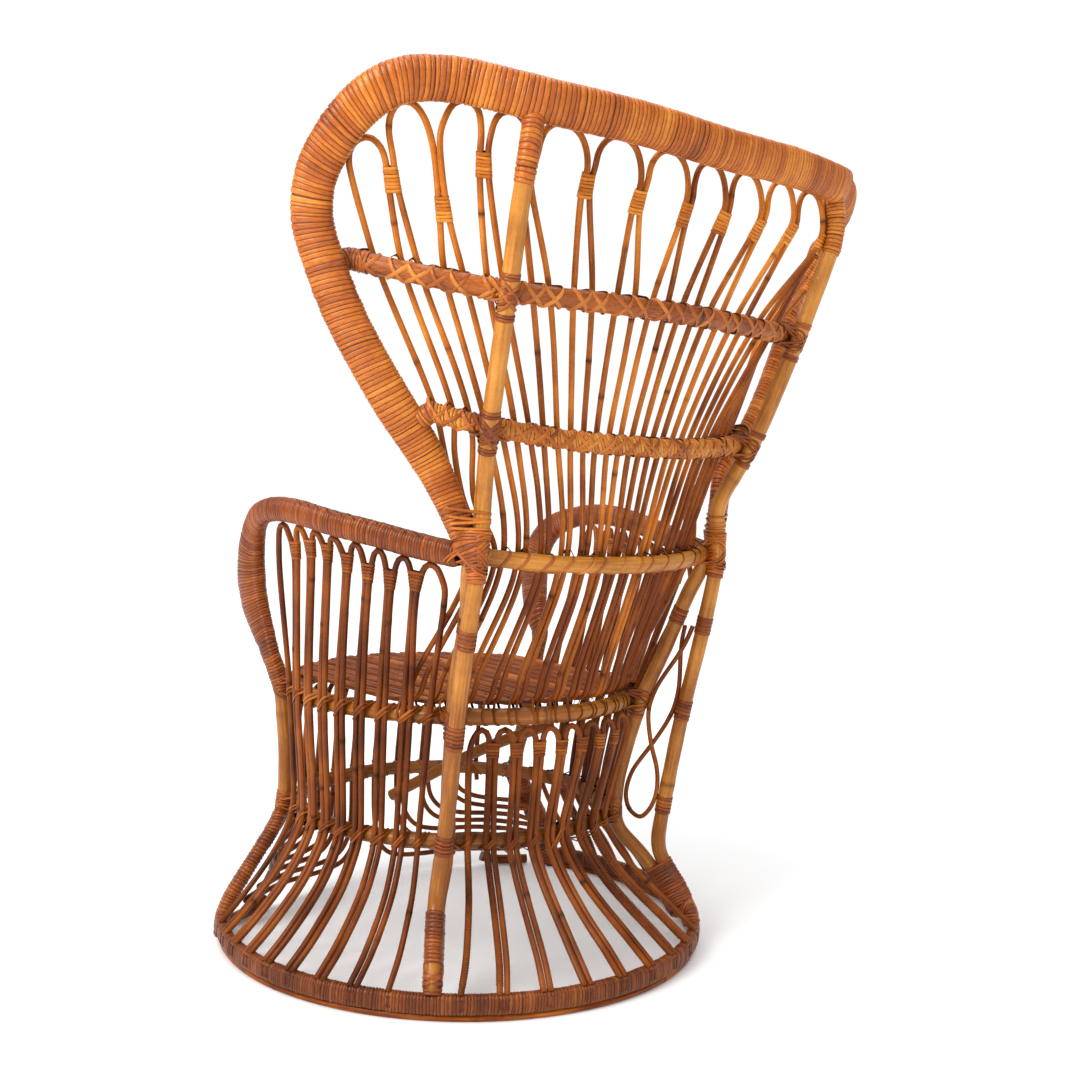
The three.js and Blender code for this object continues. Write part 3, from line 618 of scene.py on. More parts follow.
PEEL = (0.5, 0.5, 0.5)
M_WOUND = rattan("wound_peel", srgb(108, 46, 6), srgb(170, 86, 18), srgb(214, 134, 44), 0.33, 0.15, 0.35, srgb(44, 17, 3), streak=PEEL, sheen=0.22)
M_ARM = rattan("arm_peel", srgb(76, 31, 5), srgb(130, 60, 12), srgb(180, 100, 31), 0.32, 0.15, 0.35, srgb(28, 10, 2), streak=PEEL, sheen=0.22)
M_BASE = rattan("base_peel", srgb(62, 26, 5), srgb(112, 52, 13), srgb(160, 90, 32), 0.36, 0.12, 0.35, srgb(20, 8, 2), streak=PEEL, sheen=0.2)
M_BAND = rattan("laced_peel", srgb(106, 46, 7), srgb(162, 84, 23), srgb(204, 128, 48), 0.34, 0.16, 0.35, srgb(34, 13, 3), streak=PEEL, sheen=0.22)
M_STRAW = rattan("straw_peel", srgb(130, 70, 15), srgb(188, 116, 38), srgb(220, 156, 68), 0.36, 0.12, 0.35, srgb(58, 26, 5), streak=PEEL, sheen=0.2)
# the tie, pole and back cane peels get darker towards the bottom of the chair: painted shade
M_TIE = rattan("tie_peel", srgb(102, 44, 8), srgb(164, 84, 24), srgb(208, 132, 52), 0.36, 0.12, 0.3, srgb(40, 15, 3), streak=(1.1, 1.1, 0.08), sheen=0.2, painted_low_shade=(0.3, 0.62, 0.22))
M_POLE = rattan("peeled_pole", srgb(136, 76, 18), srgb(192, 126, 46), srgb(222, 164, 78), 0.32, 0.16, 0.25, srgb(70, 32, 7), sheen=0.22, painted_low_shade=(0.3, 0.6, 0.22))
M_RING = rattan("ring_pole", srgb(98, 52, 12), srgb(154, 94, 32), srgb(200, 140, 62), 0.36, 0.14, 0.3, srgb(52, 23, 5), sheen=0.2)
M_CANE = rattan("skin_cane", srgb(112, 50, 8), srgb(188, 106, 30), srgb(228, 156, 62), 0.34, 0.07, 0.3, srgb(44, 16, 3), sheen=0.12, tone_pull=0.28, painted_low_shade=(0.36, 0.8, 0.2))
# the canes and ties of the cage, low under the seat, get a darker copy of the cane colour: partly their own darker
# colour, partly painted shade of the seat above them
M_CAGE = rattan("cage_cane", srgb(74, 30, 5), srgb(132, 65, 14), srgb(186, 110, 36), 0.34, 0.07, 0.3, srgb(28, 10, 2), sheen=0.12, tone_pull=0.28)

LOOKS = {}


def made(b, name, material, slot_name, *nodes):
    o = b.object(name, material, slot_name)
    if nodes:
        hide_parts(*nodes)
    LOOKS[name] = o
    return o


# --------------------------------------------------------------------------------------- canes

CANE_R = 0.0041
BACK_R = 0.0037
POST_R = 0.0105
STEP = 0.007
LINES = {}

for i in range(1, 16):
    n = f"back_loop_{i:02d}"
    LINES[n] = smooth(spine(n, 5), STEP)
for side in ("left", "right"):
    for i in range(1, 9):
        n = f"side_loop_{side}_{i}"
        LINES[n] = smooth(spine(n, 5), STEP)
for i in range(1, 9):
    n = f"skirt_loop_{i}"
    LINES[n] = smooth(spine(n, 5), STEP)
for n, line in list(LINES.items()):
    b = Builder()
    far_back = n.startswith("back")
    if not far_back:
        # the lower ends run into the wound base
        for flip in (False, True):
            if flip:
                line = line[::-1]
            if line[-1][2] < 0.06:
                line = np.vstack([line, line[-1] + unit(line[-1] - line[-3]) * 0.007])
            if flip:
                line = line[::-1]
        LINES[n] = line
    vine(b, line, BACK_R if far_back else CANE_R, 10, rng.random(), 0.2)
    made(b, n.replace("loop", "cane"), M_CANE if far_back else M_CAGE, "cane", n)
for side in ("left", "right"):
    n = f"figure_eight_{side}"
    LINES[n] = smooth(spine(n, 5), 0.005)
    b = Builder()
    vine(b, LINES[n], 0.0033, 9, 0.3 + 0.4 * rng.random(), 0.17)
    made(b, f"eight_cane_{side}", M_CANE, "cane", n)

# --------------------------------------------------------------------------- poles and rings

RIM_MID = smooth(spine("head_rim", 8), 0.004)
for side in ("left", "right"):
    for n, name in (("back_post", "post"), ("inner_leg", "inner_post")):
        line = smooth(spine(f"{n}_{side}", 7), 0.008)
        if line[0][2] > line[-1][2]:
            line = line[::-1].copy()
        if n == "back_post":
            # the head of the post turns into the rim
            head = line[-1]
            into = RIM_MID[int(np.argmin(np.linalg.norm(RIM_MID - head, axis=1)))] - head
            line = smooth(np.vstack([line[:-6], line[-6] * 0.62 + head * 0.38 + into * 0.3, line[-6] * 0.34 + head * 0.66 + into * 0.95]), 0.008)
        else:
            # its top goes on beside the post, up into the knot
            m = np.ones(3) if side == "left" else MIRROR
            line = smooth(np.vstack([line, at(207, 274.5, 568) * m, at(208.5, 280, 582) * m]), 0.008)
        LINES[f"{n}_{side}"] = line
        b = Builder()
        vine(b, line, POST_R, 16, 0.4 + 0.25 * rng.random(), 0.26, 0.05)
        made(b, f"{name}_{side}", M_POLE, "peeled_pole", f"{n}_{side}")
line = smooth([at(88, -60, 203), at(52, 0, 245), at(15, 70, 290), at(-24, 168, 338)], 0.008)
b = Builder()
vine(b, line, 0.008, 14, 0.3, 0.2)
made(b, "under_seat_brace", M_POLE, "peeled_pole", "seat_brace")


def torus_facts(node):
    pos, _ = weld(node)
    lo, hi = pos.min(0), pos.max(0)
    cx, cy, cz = (lo + hi) / 2
    radial = np.hypot(pos[:, 0] - cx, pos[:, 1] - cy)
    big = (radial.max() + radial.min()) / 2
    return np.array([0, cy, cz]), big, (hi[2] - lo[2]) / 2


def circle(centre, r, n):
    a = np.linspace(0, 2 * math.pi, n + 1)
    return centre + np.stack([r * np.sin(a), r * np.cos(a), np.zeros(n + 1)], 1)


WAIST_C, WAIST_R, WAIST_P = torus_facts("waist_ring")
SEAT_C, SEAT_R, SEAT_P = torus_facts("seat_ring")
for node, name, c, r, q, mat in (("waist_ring", "waist_hoop", WAIST_C, WAIST_R, 0.0105, M_RING), ("seat_ring", "seat_hoop", SEAT_C, SEAT_R, 0.0115, M_POLE)):
    n = 200
    path = circle(c, r, n)[:-1]
    a = np.linspace(0, 2 * math.pi, 200, endpoint=False)
    out = np.stack([np.sin(a), np.cos(a), np.zeros(n)], 1)
    up = np.array([0.0, 0.0, 1.0])
    th = np.linspace(0, 2 * math.pi, 16, endpoint=False)
    s = a * r
    rad = q * (1 + 0.012 * np.sin(a * 11))
    dark = np.zeros(n)
    for k in range(7):
        mark = (k + 0.25 * rng.random()) * s[-1] / 7
        rad += q * 0.05 * np.exp(-(((s - mark) / 0.008) ** 2))
        dark = np.maximum(dark, np.exp(-(((s - mark) / 0.0025) ** 2)))
    rows = path[:, None] + rad[:, None, None] * (np.cos(th)[None, :, None] * out[:, None] - np.sin(th)[None, :, None] * up)
    g = np.stack([np.broadcast_to(np.cos(th)[None] * 4, (n, 16)), np.broadcast_to(np.sin(th)[None] * 4, (n, 16)), np.broadcast_to(s[:, None] * 111, (n, 16))], -1)
    b = Builder()
    b.grid(rows, g, 0.45, np.broadcast_to(dark[:, None], (n, 16)), close=True)
    made(b, name, mat, "peeled_pole", node)

# ------------------------------------------------------------------------ close-wound bundles


def flat_run(node, sides, step):
    """Centre line of a flat bundle, with its thick and its wide direction at every point."""
    rings = rings_of(node, sides)
    c = np.array([r.mean(0) for r in rings])
    wide = []
    for r in rings:
        d = r - r.mean(0)
        _, _, vt = np.linalg.svd(d)
        v = vt[0]
        if wide and v @ wide[-1] < 0:
            v = -v
        wide.append(v)
    wide = np.array(wide)
    p = smooth(c, step)
    s = lengths(p)
    sc = lengths(c)
    q = sc / sc[-1] * s[-1]
    guide = np.stack([np.interp(s, q, wide[:, k]) for k in range(3)], 1)
    t, y, x = led(p, guide)
    return p, (t, x, y)


RIM_P, RIM_F = flat_run("head_rim", 8, 0.004)
if RIM_F[1][len(RIM_P) // 2][1] < 0:  # the thick direction points away from the sitter
    RIM_F = (RIM_F[0], -RIM_F[1], -RIM_F[2])
RIM_P = RIM_P
b = Builder()
rim_s = lengths(RIM_P)
RIM_L = rim_s[-1]


def rim_size(ss):
    # the ends of the run draw in beside the posts
    z = np.interp(ss, rim_s, RIM_P[:, 2]) * 1000 + 9
    thick = np.interp(z, [603, 645, 697], [0.8, 0.92, 1.0])
    wide = np.interp(z, [603, 645, 697, 750], [0.62, 0.76, 0.92, 1.0])
    return 0.0128 * thick, 0.0238 * wide


wound(b, RIM_P, RIM_F, (0.0128, 0.0238, 2.5), strip=0.0057, around=34, tone=0.55, slant=0.0022, taper=rim_size)
made(b, "wound_rim", M_WOUND, "wrapped_bundle", "head_rim")

ARM = {}
for side in ("left", "right"):
    p, fr = flat_run(f"arm_{side}", 8, 0.004)
    m = np.ones(3) if side == "left" else MIRROR
    if p[0][1] < p[-1][1]:
        p = p[::-1].copy()
        fr = tuple(f[::-1].copy() for f in fr)
        fr = (-fr[0], fr[1], fr[2])
    L = lengths(p)[-1]
    t, x, y = fr
    sgn = 1.0 if side == "left" else -1.0
    if x[len(p) // 3][0] * sgn < 0:
        x = -x
    if y[len(p) // 3][2] < 0:
        y = -y
    fr = (t, x, y)
    ARM[side] = (p, fr, L)
    # the winding runs on over the top of the front leg, down to the seat
    on = smooth(np.vstack([p[-1:], [at(*q) * m for q in ((252.5, -134.5, 412), (247, -132.5, 398), (242, -130.5, 381), (240, -129.5, 374))]]), 0.004)[1:]
    back = p[0] - unit(p[2] - p[0]) * np.array([[0.012], [0.008], [0.004]])
    p = np.vstack([back, p, on])
    t, x, y = led(p, np.vstack([np.repeat(fr[2][:1], 3, 0), fr[2], np.repeat(fr[2][-1:], len(on), 0)]))
    t, x, y = t, -y, x
    if x[len(p) // 3][0] * sgn < 0:
        x = -x
    fr = (t, x, y)

    def arm_size(ss, L=L):
        # the bundle spreads in the bend at the front
        d = ss * 1000 - 12
        e = L * 1000
        wide = np.interp(d, [-12, 0, 60, e - 240, e - 190, e - 145, e - 100, e - 60, e - 25, e], [0.6, 0.84, 0.86, 0.88, 1.1, 1.42, 1.52, 1.38, 1.12, 0.84])
        wide = np.interp(d, [e, e + 30, e + 60], [0.84, 0.72, 0.66]) * (d > e) + wide * (d <= e)
        thick = np.interp(d, [0, 60, e - 240, e - 145, e - 100, e - 60, e - 25, e], [0.95, 1, 1, 1.2, 1.3, 1.25, 1.1, 0.98])
        return 0.0119 * thick, 0.0188 * wide

    b = Builder()
    wound(b, p, fr, (0.012, 0.018, 2.4), strip=0.0044, around=30, tone=0.45, slant=0.0016, taper=arm_size, ridge=0.0003, groove=0.0009)
    made(b, f"wound_arm_{side}", M_ARM, "wrapped_bundle", f"arm_{side}")
    # short dark stitches of the inner canes that show on top of the rail
    b = Builder()
    s = lengths(p)
    k = 0
    q = 0.10 * L
    while q < 0.47 * L:
        i = int(np.searchsorted(s, q))
        A, B_ = arm_size(np.array([q]))
        for j, off in enumerate((-0.35, 0.1, 0.5)):
            if (k + j) % 2:
                continue
            th = math.pi / 2 - off
            path = []
            outs = []
            for u in np.linspace(-1, 1, 5):
                ii = min(max(i + int(round(u * 1.1)), 0), len(p) - 1)
                tt = th + 0.16 * u
                ex, ey = superellipse(np.array([tt]), A[0] + 0.0002, B_[0] + 0.0002, 2.4)
                path.append(p[i] + t[i] * u * 0.0034 + ex[0] * x[i] + ey[0] * y[i])
                outs.append(math.cos(tt) / A[0] * x[i] + math.sin(tt) / B_[0] * y[i])
            ribbon(b, np.array(path), np.array(outs), 0.0019, 0.00045, 0.05, closed=False, dark=0.75)
        q += 0.0105
        k += 1
    made(b, f"rail_stitches_{side}", M_TIE, "wrapped_bundle")

# ------------------------------------------------------------------------------- base and hoop

p = smooth(spine("base_ring", 8), 0.004)
centre = at(0, 3, 0)
guide = p - np.array([0, centre[1], p[0][2]])
guide[:, 2] = 0
t, x, y = led(p, guide)
if y[0][2] < 0:
    y = -y
b = Builder()
wound(b, p, (t, x, y), (0.0085, 0.0127, 3.0), strip=0.0043, around=26, tone=0.5, slant=0.0008, ridge=0.0003, groove=0.0008)
made(b, "wound_base", M_BASE, "wrapped_bundle", "base_ring")
BASE_P, BASE_F = p, (t, x, y)
p = smooth(spine("skid_hoop", 6), 0.006)
p[:, 2] = 0.0043
b = Builder()
vine(b, p, 0.0042, 12, 0.6, 0.3)
made(b, "skid_cane", M_CANE, "cane", "skid_hoop")

# -------------------------------------------------------------------------------- cross bands

BANDS = {}
for name, r, mat, tone in (("upper", 0.012, M_BAND, 0.4), ("middle", 0.012, M_STRAW, 0.5), ("lower", 0.011, M_POLE, 0.5)):
    p = smooth(spine(f"{name}_band", 7), 0.006)
    if p[0][0] > p[-1][0]:
        p = p[::-1].copy()
    BANDS[name] = (p, r)
    fr = frames(p, [0, 1, 0])
    L = lengths(p)[-1]
    b = Builder()
    if name == "middle":
        wound(b, p, fr, (r - 0.0005, r - 0.0005, 2.0), strip=0.005, around=22, tone=0.5, slant=0.004, ridge=0.0004, groove=0.0008)
    else:
        vine(b, p, r * 0.985, 18, tone, 0.21, 0.04, start=[0, 1, 0])
    made(b, f"{name}_cross_pole", mat, "peeled_pole" if name == "lower" else "wrapped_bundle", f"{name}_band")
    b = Builder()
    reach = {"upper": 0.042, "middle": 0.02, "lower": 0.026}[name]
    for end in (p[:12][::-1], p[-12:]):
        q = end
        if name != "lower":
            # the end of the pole is bound into the rim
            k = RIM_P[int(np.argmin(np.linalg.norm(RIM_P - end[-1], axis=1)))]
            q = smooth(np.vstack([end, end[-1] + (k - end[-1]) * 0.28, end[-1] + (k - end[-1]) * 0.55]), 0.004)
        le = lengths(q)[-1]
        wound(b, q, frames(q, [0, 1, 0]), (r + 0.0008, r + 0.0008, 2.0), strip=0.0046, around=22, tone=0.45, slant=0.0008, s0=max(le - reach, 0.001), s1=le - 0.0006)
    made(b, f"{name}_pole_ends", M_BAND, "wrapped_bundle")

# ----------------------------------------------------------------------------------- front legs

leg_top = [(255, -137, 424), (247, -133, 398), (238, -129, 366), (230, -131, 315), (222, -138, 250), (218.5, -145.5, 203), (224, -148, 172), (240, -147, 150)]
leg_foot = [(222, -147, 182), (235, -147, 156), (257, -147, 126), (279, -151, 92), (296, -156, 62), (305, -159, 38), (307, -160, 24), (307, -160, 9.9)]
LEGS = {}
for side in ("left", "right"):
    m = np.array([1.0, 1.0, 1.0]) if side == "left" else MIRROR
    top = smooth(np.array([at(*q) for q in leg_top]) * m, 0.007)
    foot = smooth(np.array([at(*q) for q in leg_foot]) * m, 0.005)
    LEGS[side] = (top, foot)
    b = Builder()
    vine(b, top, 0.011, 16, 0.45, 0.2, 0.05)
    o1 = made(b, f"front_post_{side}", M_POLE, "wrapped_bundle")
    outward = unit((at(307, -163, 0) - at(0, 0, 0)) * m * np.array([1, 1, 0]))
    t, x, y = led(foot, np.broadcast_to(outward, foot.shape))
    fl = lengths(foot)[-1]
    b = Builder()
    for sgn in (-1, 1):
        # two poles side by side; they close up at the waist and stand apart at the floor
        u = lengths(foot) / fl
        gap = 0.0055 + 0.004 * np.clip(u * 1.6, 0, 1)
        vine(b, foot + sgn * gap[:, None] * y, 0.0088, 14, 0.25, 0.2, 0.03)
    made(b, f"front_foot_{side}", M_CAGE, "wrapped_bundle", f"front_leg_{side}")
    b = Builder()
    s = lengths(foot)
    wound(b, foot, (t, x, y), (0.0104, 0.0184, 2.4), strip=0.0047, around=26, tone=0.45, slant=0.002, s0=0.004, s1=fl - 0.002, ridge=0.0006, groove=0.0012)
    made(b, f"foot_lacing_{side}", M_ARM, "wrapped_bundle")


# ------------------------------------------------------------------------- front of the cage

WR = 226 + 10.5 + 4.2 + 1.5 + 0.6


def front_y(x, z):
    floor = -262 + 90 * (x / 300) ** 2
    waist = -28 - math.sqrt(max(WR * WR - x * x, 0))
    u = min(max((z - 9) / (186 - 9), 0), 1)
    u = u * u * (3 - 2 * u)
    return floor + (waist - floor) * u


def F(x, z):
    return (x, front_y(x, z), z)


def S(x, z, r=247):
    return (x, -8 - math.sqrt(r * r - x * x), z)


def between(x, z):
    a, c = front_y(x, 192), S(x, 0)[1]
    return (x, a + (c - a) * (z - 192) / (366 - 192), z)


def mix(a, c, f):
    return a + (c - a) * f


UPRIGHTS = [16, 25.4, 56.4, 65.8, 96.6, 106, 136.4, 145.8, 172]
RUN_END = [262, 258, 255, 250, 246, 239, 232, 224]
RUN_STEP = 13.6


def down(j):
    """An upright of the fan from the seat to the waist, then bent out into its run."""
    x = UPRIGHTS[j]
    z = 41 + RUN_STEP * j
    bend = min(62, 192 - 22 - z)
    return [
        between(x, 318), between(x + 0.6, 250), F(x + 0.8, 192), F(x + 2.5, z + bend), F(x + 9, z + bend * 0.48),
        F(x + 26, z + bend * 0.14), F(x + 52, z), F(mix(x + 52, RUN_END[j], 0.55), z), F(RUN_END[j] - 9, z),
    ]


fan = [S(0, 347), S(8.5, 343)]
for j in range(0, 8, 2):
    turn = [F(RUN_END[j] - 1, 41 + RUN_STEP * (j + 0.2)), F(RUN_END[j] + 1, 41 + RUN_STEP * (j + 0.5)), F(RUN_END[j + 1] - 1, 41 + RUN_STEP * (j + 0.8))]
    fan += down(j) + turn + down(j + 1)[::-1]
    u0, u1 = UPRIGHTS[j + 1], UPRIGHTS[j + 2]
    if j < 6:
        fan += [S(mix(u0, u1, 0.24), 341), S(mix(u0, u1, 0.5), 347), S(mix(u0, u1, 0.76), 341)]
    else:
        fan += [S(152, 341), S(159, 346), S(166, 341), between(172, 318), between(173, 250), F(174, 192), F(176, 168)]
whole = [(-q[0], q[1], q[2]) for q in fan[1:]][::-1] + fan
b = Builder()
LINES["fan"] = smooth(np.array([at(*q) for q in whole]), 0.0055)
vine(b, LINES["fan"], 0.0039, 10, 0.45, 0.2)
made(b, "front_canes", M_CAGE, "cane", "front_fan")
b = Builder()
for m in (np.ones(3), MIRROR):
    vine(b, smooth(np.array([at(*q) for q in (F(280, 18.5), F(262, 18.5), F(240, 18.5), F(222, 21), F(207, 26))]) * m, 0.006), 0.0078, 14, 0.4, 0.25)
made(b, "front_rim_poles", M_CAGE, "cane")

# -------------------------------------------------------------------------------- the lashings

Z = np.array([0.0, 0.0, 1.0])

# canes of the back, tied in twos under the rim
b = Builder()
TIES = [(365, 318, 1002), (317, 351, 969), (292, 388, 1018), (255, 418, 1006), (178, 430, 1011), (105, 438, 1003), (32, 443, 1000)]
for i, tie in enumerate(TIES):
    for m, names in ((np.ones(3), (i + 1, i + 2)), (MIRROR, (15 - i, 14 - i))):
        q = at(*tie) * m
        rods = []
        for k in names:
            pt, d = nearest(LINES[f"back_loop_{k:02d}"], q)
            rods.append((pt, d, BACK_R))
        mid = (rods[0][0] + rods[1][0]) / 2
        binding(b, rods, mid, rods[0][1] + rods[1][1] * np.sign(rods[0][1] @ rods[1][1]), 7, 0.0041, 0.0041, 0.0009, 0.5, 0.06, 22)
made(b, "ties_under_rim", M_CANE, "cane")

# canes of the arms, tied in twos under the rail
b = Builder()
SIDE_TIES = [(235, 200, 545), (248, 162, 547), (258.5, 126, 553), (267, 89, 563), (273, 49, 574), (276, 11, 575), (279, -25, 573)]
for i, tie in enumerate(SIDE_TIES):
    for m, side in ((np.ones(3), "left"), (MIRROR, "right")):
        q = at(*tie) * m
        rods = [(*nearest(LINES[f"side_loop_{side}_{k}"], q), CANE_R) for k in (i + 1, i + 2)]
        axis = rods[0][1] * np.sign(rods[0][1][2]) + rods[1][1] * np.sign(rods[1][1][2])
        binding(b, rods, (rods[0][0] + rods[1][0]) / 2, axis, 6, 0.0042, 0.0042, 0.001, 0.35, 0.05, 22)
made(b, "ties_under_arms", M_CAGE, "cane")


def stakes_at(z, names, centre, lo, hi):
    """Canes that cross a ring's level close outside it, gathered into lashed groups by angle."""
    found = []
    for n in names:
        for pt, d in crossings(LINES[n], z):
            r = math.hypot(pt[0] - centre[0], pt[1] - centre[1])
            if lo < r < hi:
                found.append((math.atan2(pt[0] - centre[0], pt[1] - centre[1]), pt, d))
    found.sort(key=lambda f: f[0])
    groups = []
    for f in found:
        if groups and np.linalg.norm(groups[-1][-1][1] - f[1]) < 0.0165:
            groups[-1].append(f)
        else:
            groups.append([f])
    return groups


cage = [n for n in LINES if n.startswith(("side_loop", "skirt_loop", "fan"))]
b = Builder()
for g in stakes_at(WAIST_C[2], cage, WAIST_C, WAIST_R + 0.005, WAIST_R + 0.035):
    mid = np.mean([f[1] for f in g], 0)
    n = unit((mid - WAIST_C) * [1, 1, 0])
    t = np.cross(Z, n)
    rods = [(f[1], f[2], CANE_R) for f in g] + [(WAIST_C + n * WAIST_R, t, 0.0106)]
    o = WAIST_C + n * (WAIST_R + 0.006)
    a = 0.75 + 0.1 * rng.normal()
    w = -t * math.cos(a) + Z * math.sin(a)
    for k in (-0.5, 0.5):
        lash(b, rods, o + unit(w) * 0.0038 * k, w, 0.0038, 0.0009, 0.4 + 0.15 * rng.normal(), 28)
made(b, "ties_on_waist_hoop", M_CAGE, "cane")

b = Builder()
for g in stakes_at(SEAT_C[2], cage, SEAT_C, SEAT_R + 0.005, SEAT_R + 0.045):
    mid = np.mean([f[1] for f in g], 0)
    n = unit((mid - SEAT_C) * [1, 1, 0])
    t = np.cross(Z, n)
    rods = [(f[1], f[2], CANE_R) for f in g] + [(SEAT_C + n * SEAT_R, t, 0.0116)]
    o = SEAT_C + n * (SEAT_R + 0.006)
    a = 0.82 + 0.07 * rng.normal()
    w = -t * math.cos(a) + Z * math.sin(a)
    for k in (-0.5, 0.5):
        lash(b, rods, o + unit(w) * 0.0042 * k, w, 0.0042, 0.001, 0.28 + 0.15 * rng.normal(), 30)
# the deck canes are bound down to the ring at its back and its front
for k in range(1, 16):
    p = LINES[f"back_loop_{k:02d}"]
    for half in (p[: len(p) // 2], p[len(p) // 2:]):
        for want in (1, -1):
            best, at_i = 1.0, None
            for i in range(1, len(half) - 1):
                d = abs(math.hypot(half[i][0], half[i][1] - SEAT_C[1]) - SEAT_R) + abs(half[i][2] - (SEAT_C[2] + 0.016)) * 0.7
                if (half[i][1] - SEAT_C[1]) * want > 0 and d < best:
                    best, at_i = d, i
            if at_i is None or best > 0.012:
                continue
            pt, d = half[at_i], unit(half[at_i + 1] - half[at_i - 1])
            n = unit((pt - SEAT_C) * [1, 1, 0])
            t = np.cross(Z, n)
            d = d * np.sign(d @ t + 1e-9)
            lash(b, [(pt, d, BACK_R), (SEAT_C + n * SEAT_R, t, 0.0117)], pt - Z * 0.008, unit(t + unit(d * [1, 1, 0.3])), 0.004, 0.0008, 0.5 + 0.15 * rng.normal(), 24)
made(b, "ties_on_seat_hoop", M_CAGE, "cane")

# neighbouring canes of the cage are tied in twos right under the seat
b = Builder()
level = at(0, 0, 324)[2]
found = []
for n in cage:
    if not n.startswith("side_loop"):
        found += crossings(LINES[n], level)
used = set()
for i, (pt, d) in enumerate(found):
    near_by = [(np.linalg.norm(found[j][0] - pt), j) for j in range(len(found)) if j != i and j not in used]
    if i in used or not near_by or min(near_by)[0] > 0.0135:
        continue
    j = min(near_by)[1]
    used |= {i, j}
    rods = [(pt, d, CANE_R), (found[j][0], found[j][1], CANE_R)]
    binding(b, rods, (pt + found[j][0]) / 2, d + found[j][1], 5, 0.0042, 0.0042, 0.0009, 0.4, 0.05, 22)
# some canes of the cage carry a fine binding of their own
for n, halves in (("skirt_loop_8", (0, 1)), ("skirt_loop_2", (0, 1))):
    p = LINES[n]
    k = len(p) // 2
    for h in halves:
        part = p[:k] if h == 0 else p[k:][::-1]
        s_ = lengths(part)
        spiral(b, part, CANE_R + 0.0001, 0.012, s_[-1] * 0.86, 0.0034, 0.0024, 0.00055, 0.35, per=12)
made(b, "ties_under_seat", M_CAGE, "cane")

# canes bound to the cross poles of the back
backs = [n for n in LINES if n.startswith("back_loop")]
for name, double, width, tone, peel in (("upper", True, 0.0056, 0.6, M_BAND), ("middle", True, 0.0052, 0.6, M_TIE), ("lower", False, 0.0042, 0.6, M_BAND)):
    p, r = BANDS[name]
    b = Builder()
    hits = []
    for n in backs:
        line = LINES[n]
        half = len(line) // 2
        for part in (line[:half], line[half:]):
            d = np.linalg.norm(part[:, None] - p[None, ::2], axis=2)
            i, j = np.unravel_index(np.argmin(d), d.shape)
            if d[i, j] < r + 0.012 and 0 < i < len(part) - 1:
                j = min(max(2 * j, 1), len(p) - 2)
                hits.append((p[j], unit(p[j + 1] - p[j - 1]), part[i], unit(part[i + 1] - part[i - 1])))
    hits.sort(key=lambda h: h[0][0])
    if not double:
        merged = []
        for h in hits:
            if merged and np.linalg.norm(merged[-1][0][2] - h[2]) < 0.02:
                merged[-1].append(h)
            else:
                merged.append([h])
    else:
        merged = [[h] for h in hits]
    for group in merged:
        c = np.mean([h[0] for h in group], 0)
        along = unit(np.mean([h[1] for h in group], 0))
        rods = [(c, along, r)] + [(h[2], h[3], BACK_R) for h in group]
        up = unit(group[0][3] * np.sign(group[0][3][2]))
        for sgn in ((-1, 1) if double else (1,)):
            a = (0.72 if double else 0.9) + 0.08 * rng.normal()
            lash(b, rods, c, sgn * along * math.sin(a) + up * 0.0 + np.cross(along, unit(c - at(0, 0, 0)) * [1, 1, 0]) * 0.0 + unit(np.cross(along, np.cross(up, along))) * math.cos(a), width, 0.001, tone + 0.15 * rng.normal(), 30)
    made(b, f"ties_on_{name}_pole", peel, "cane")

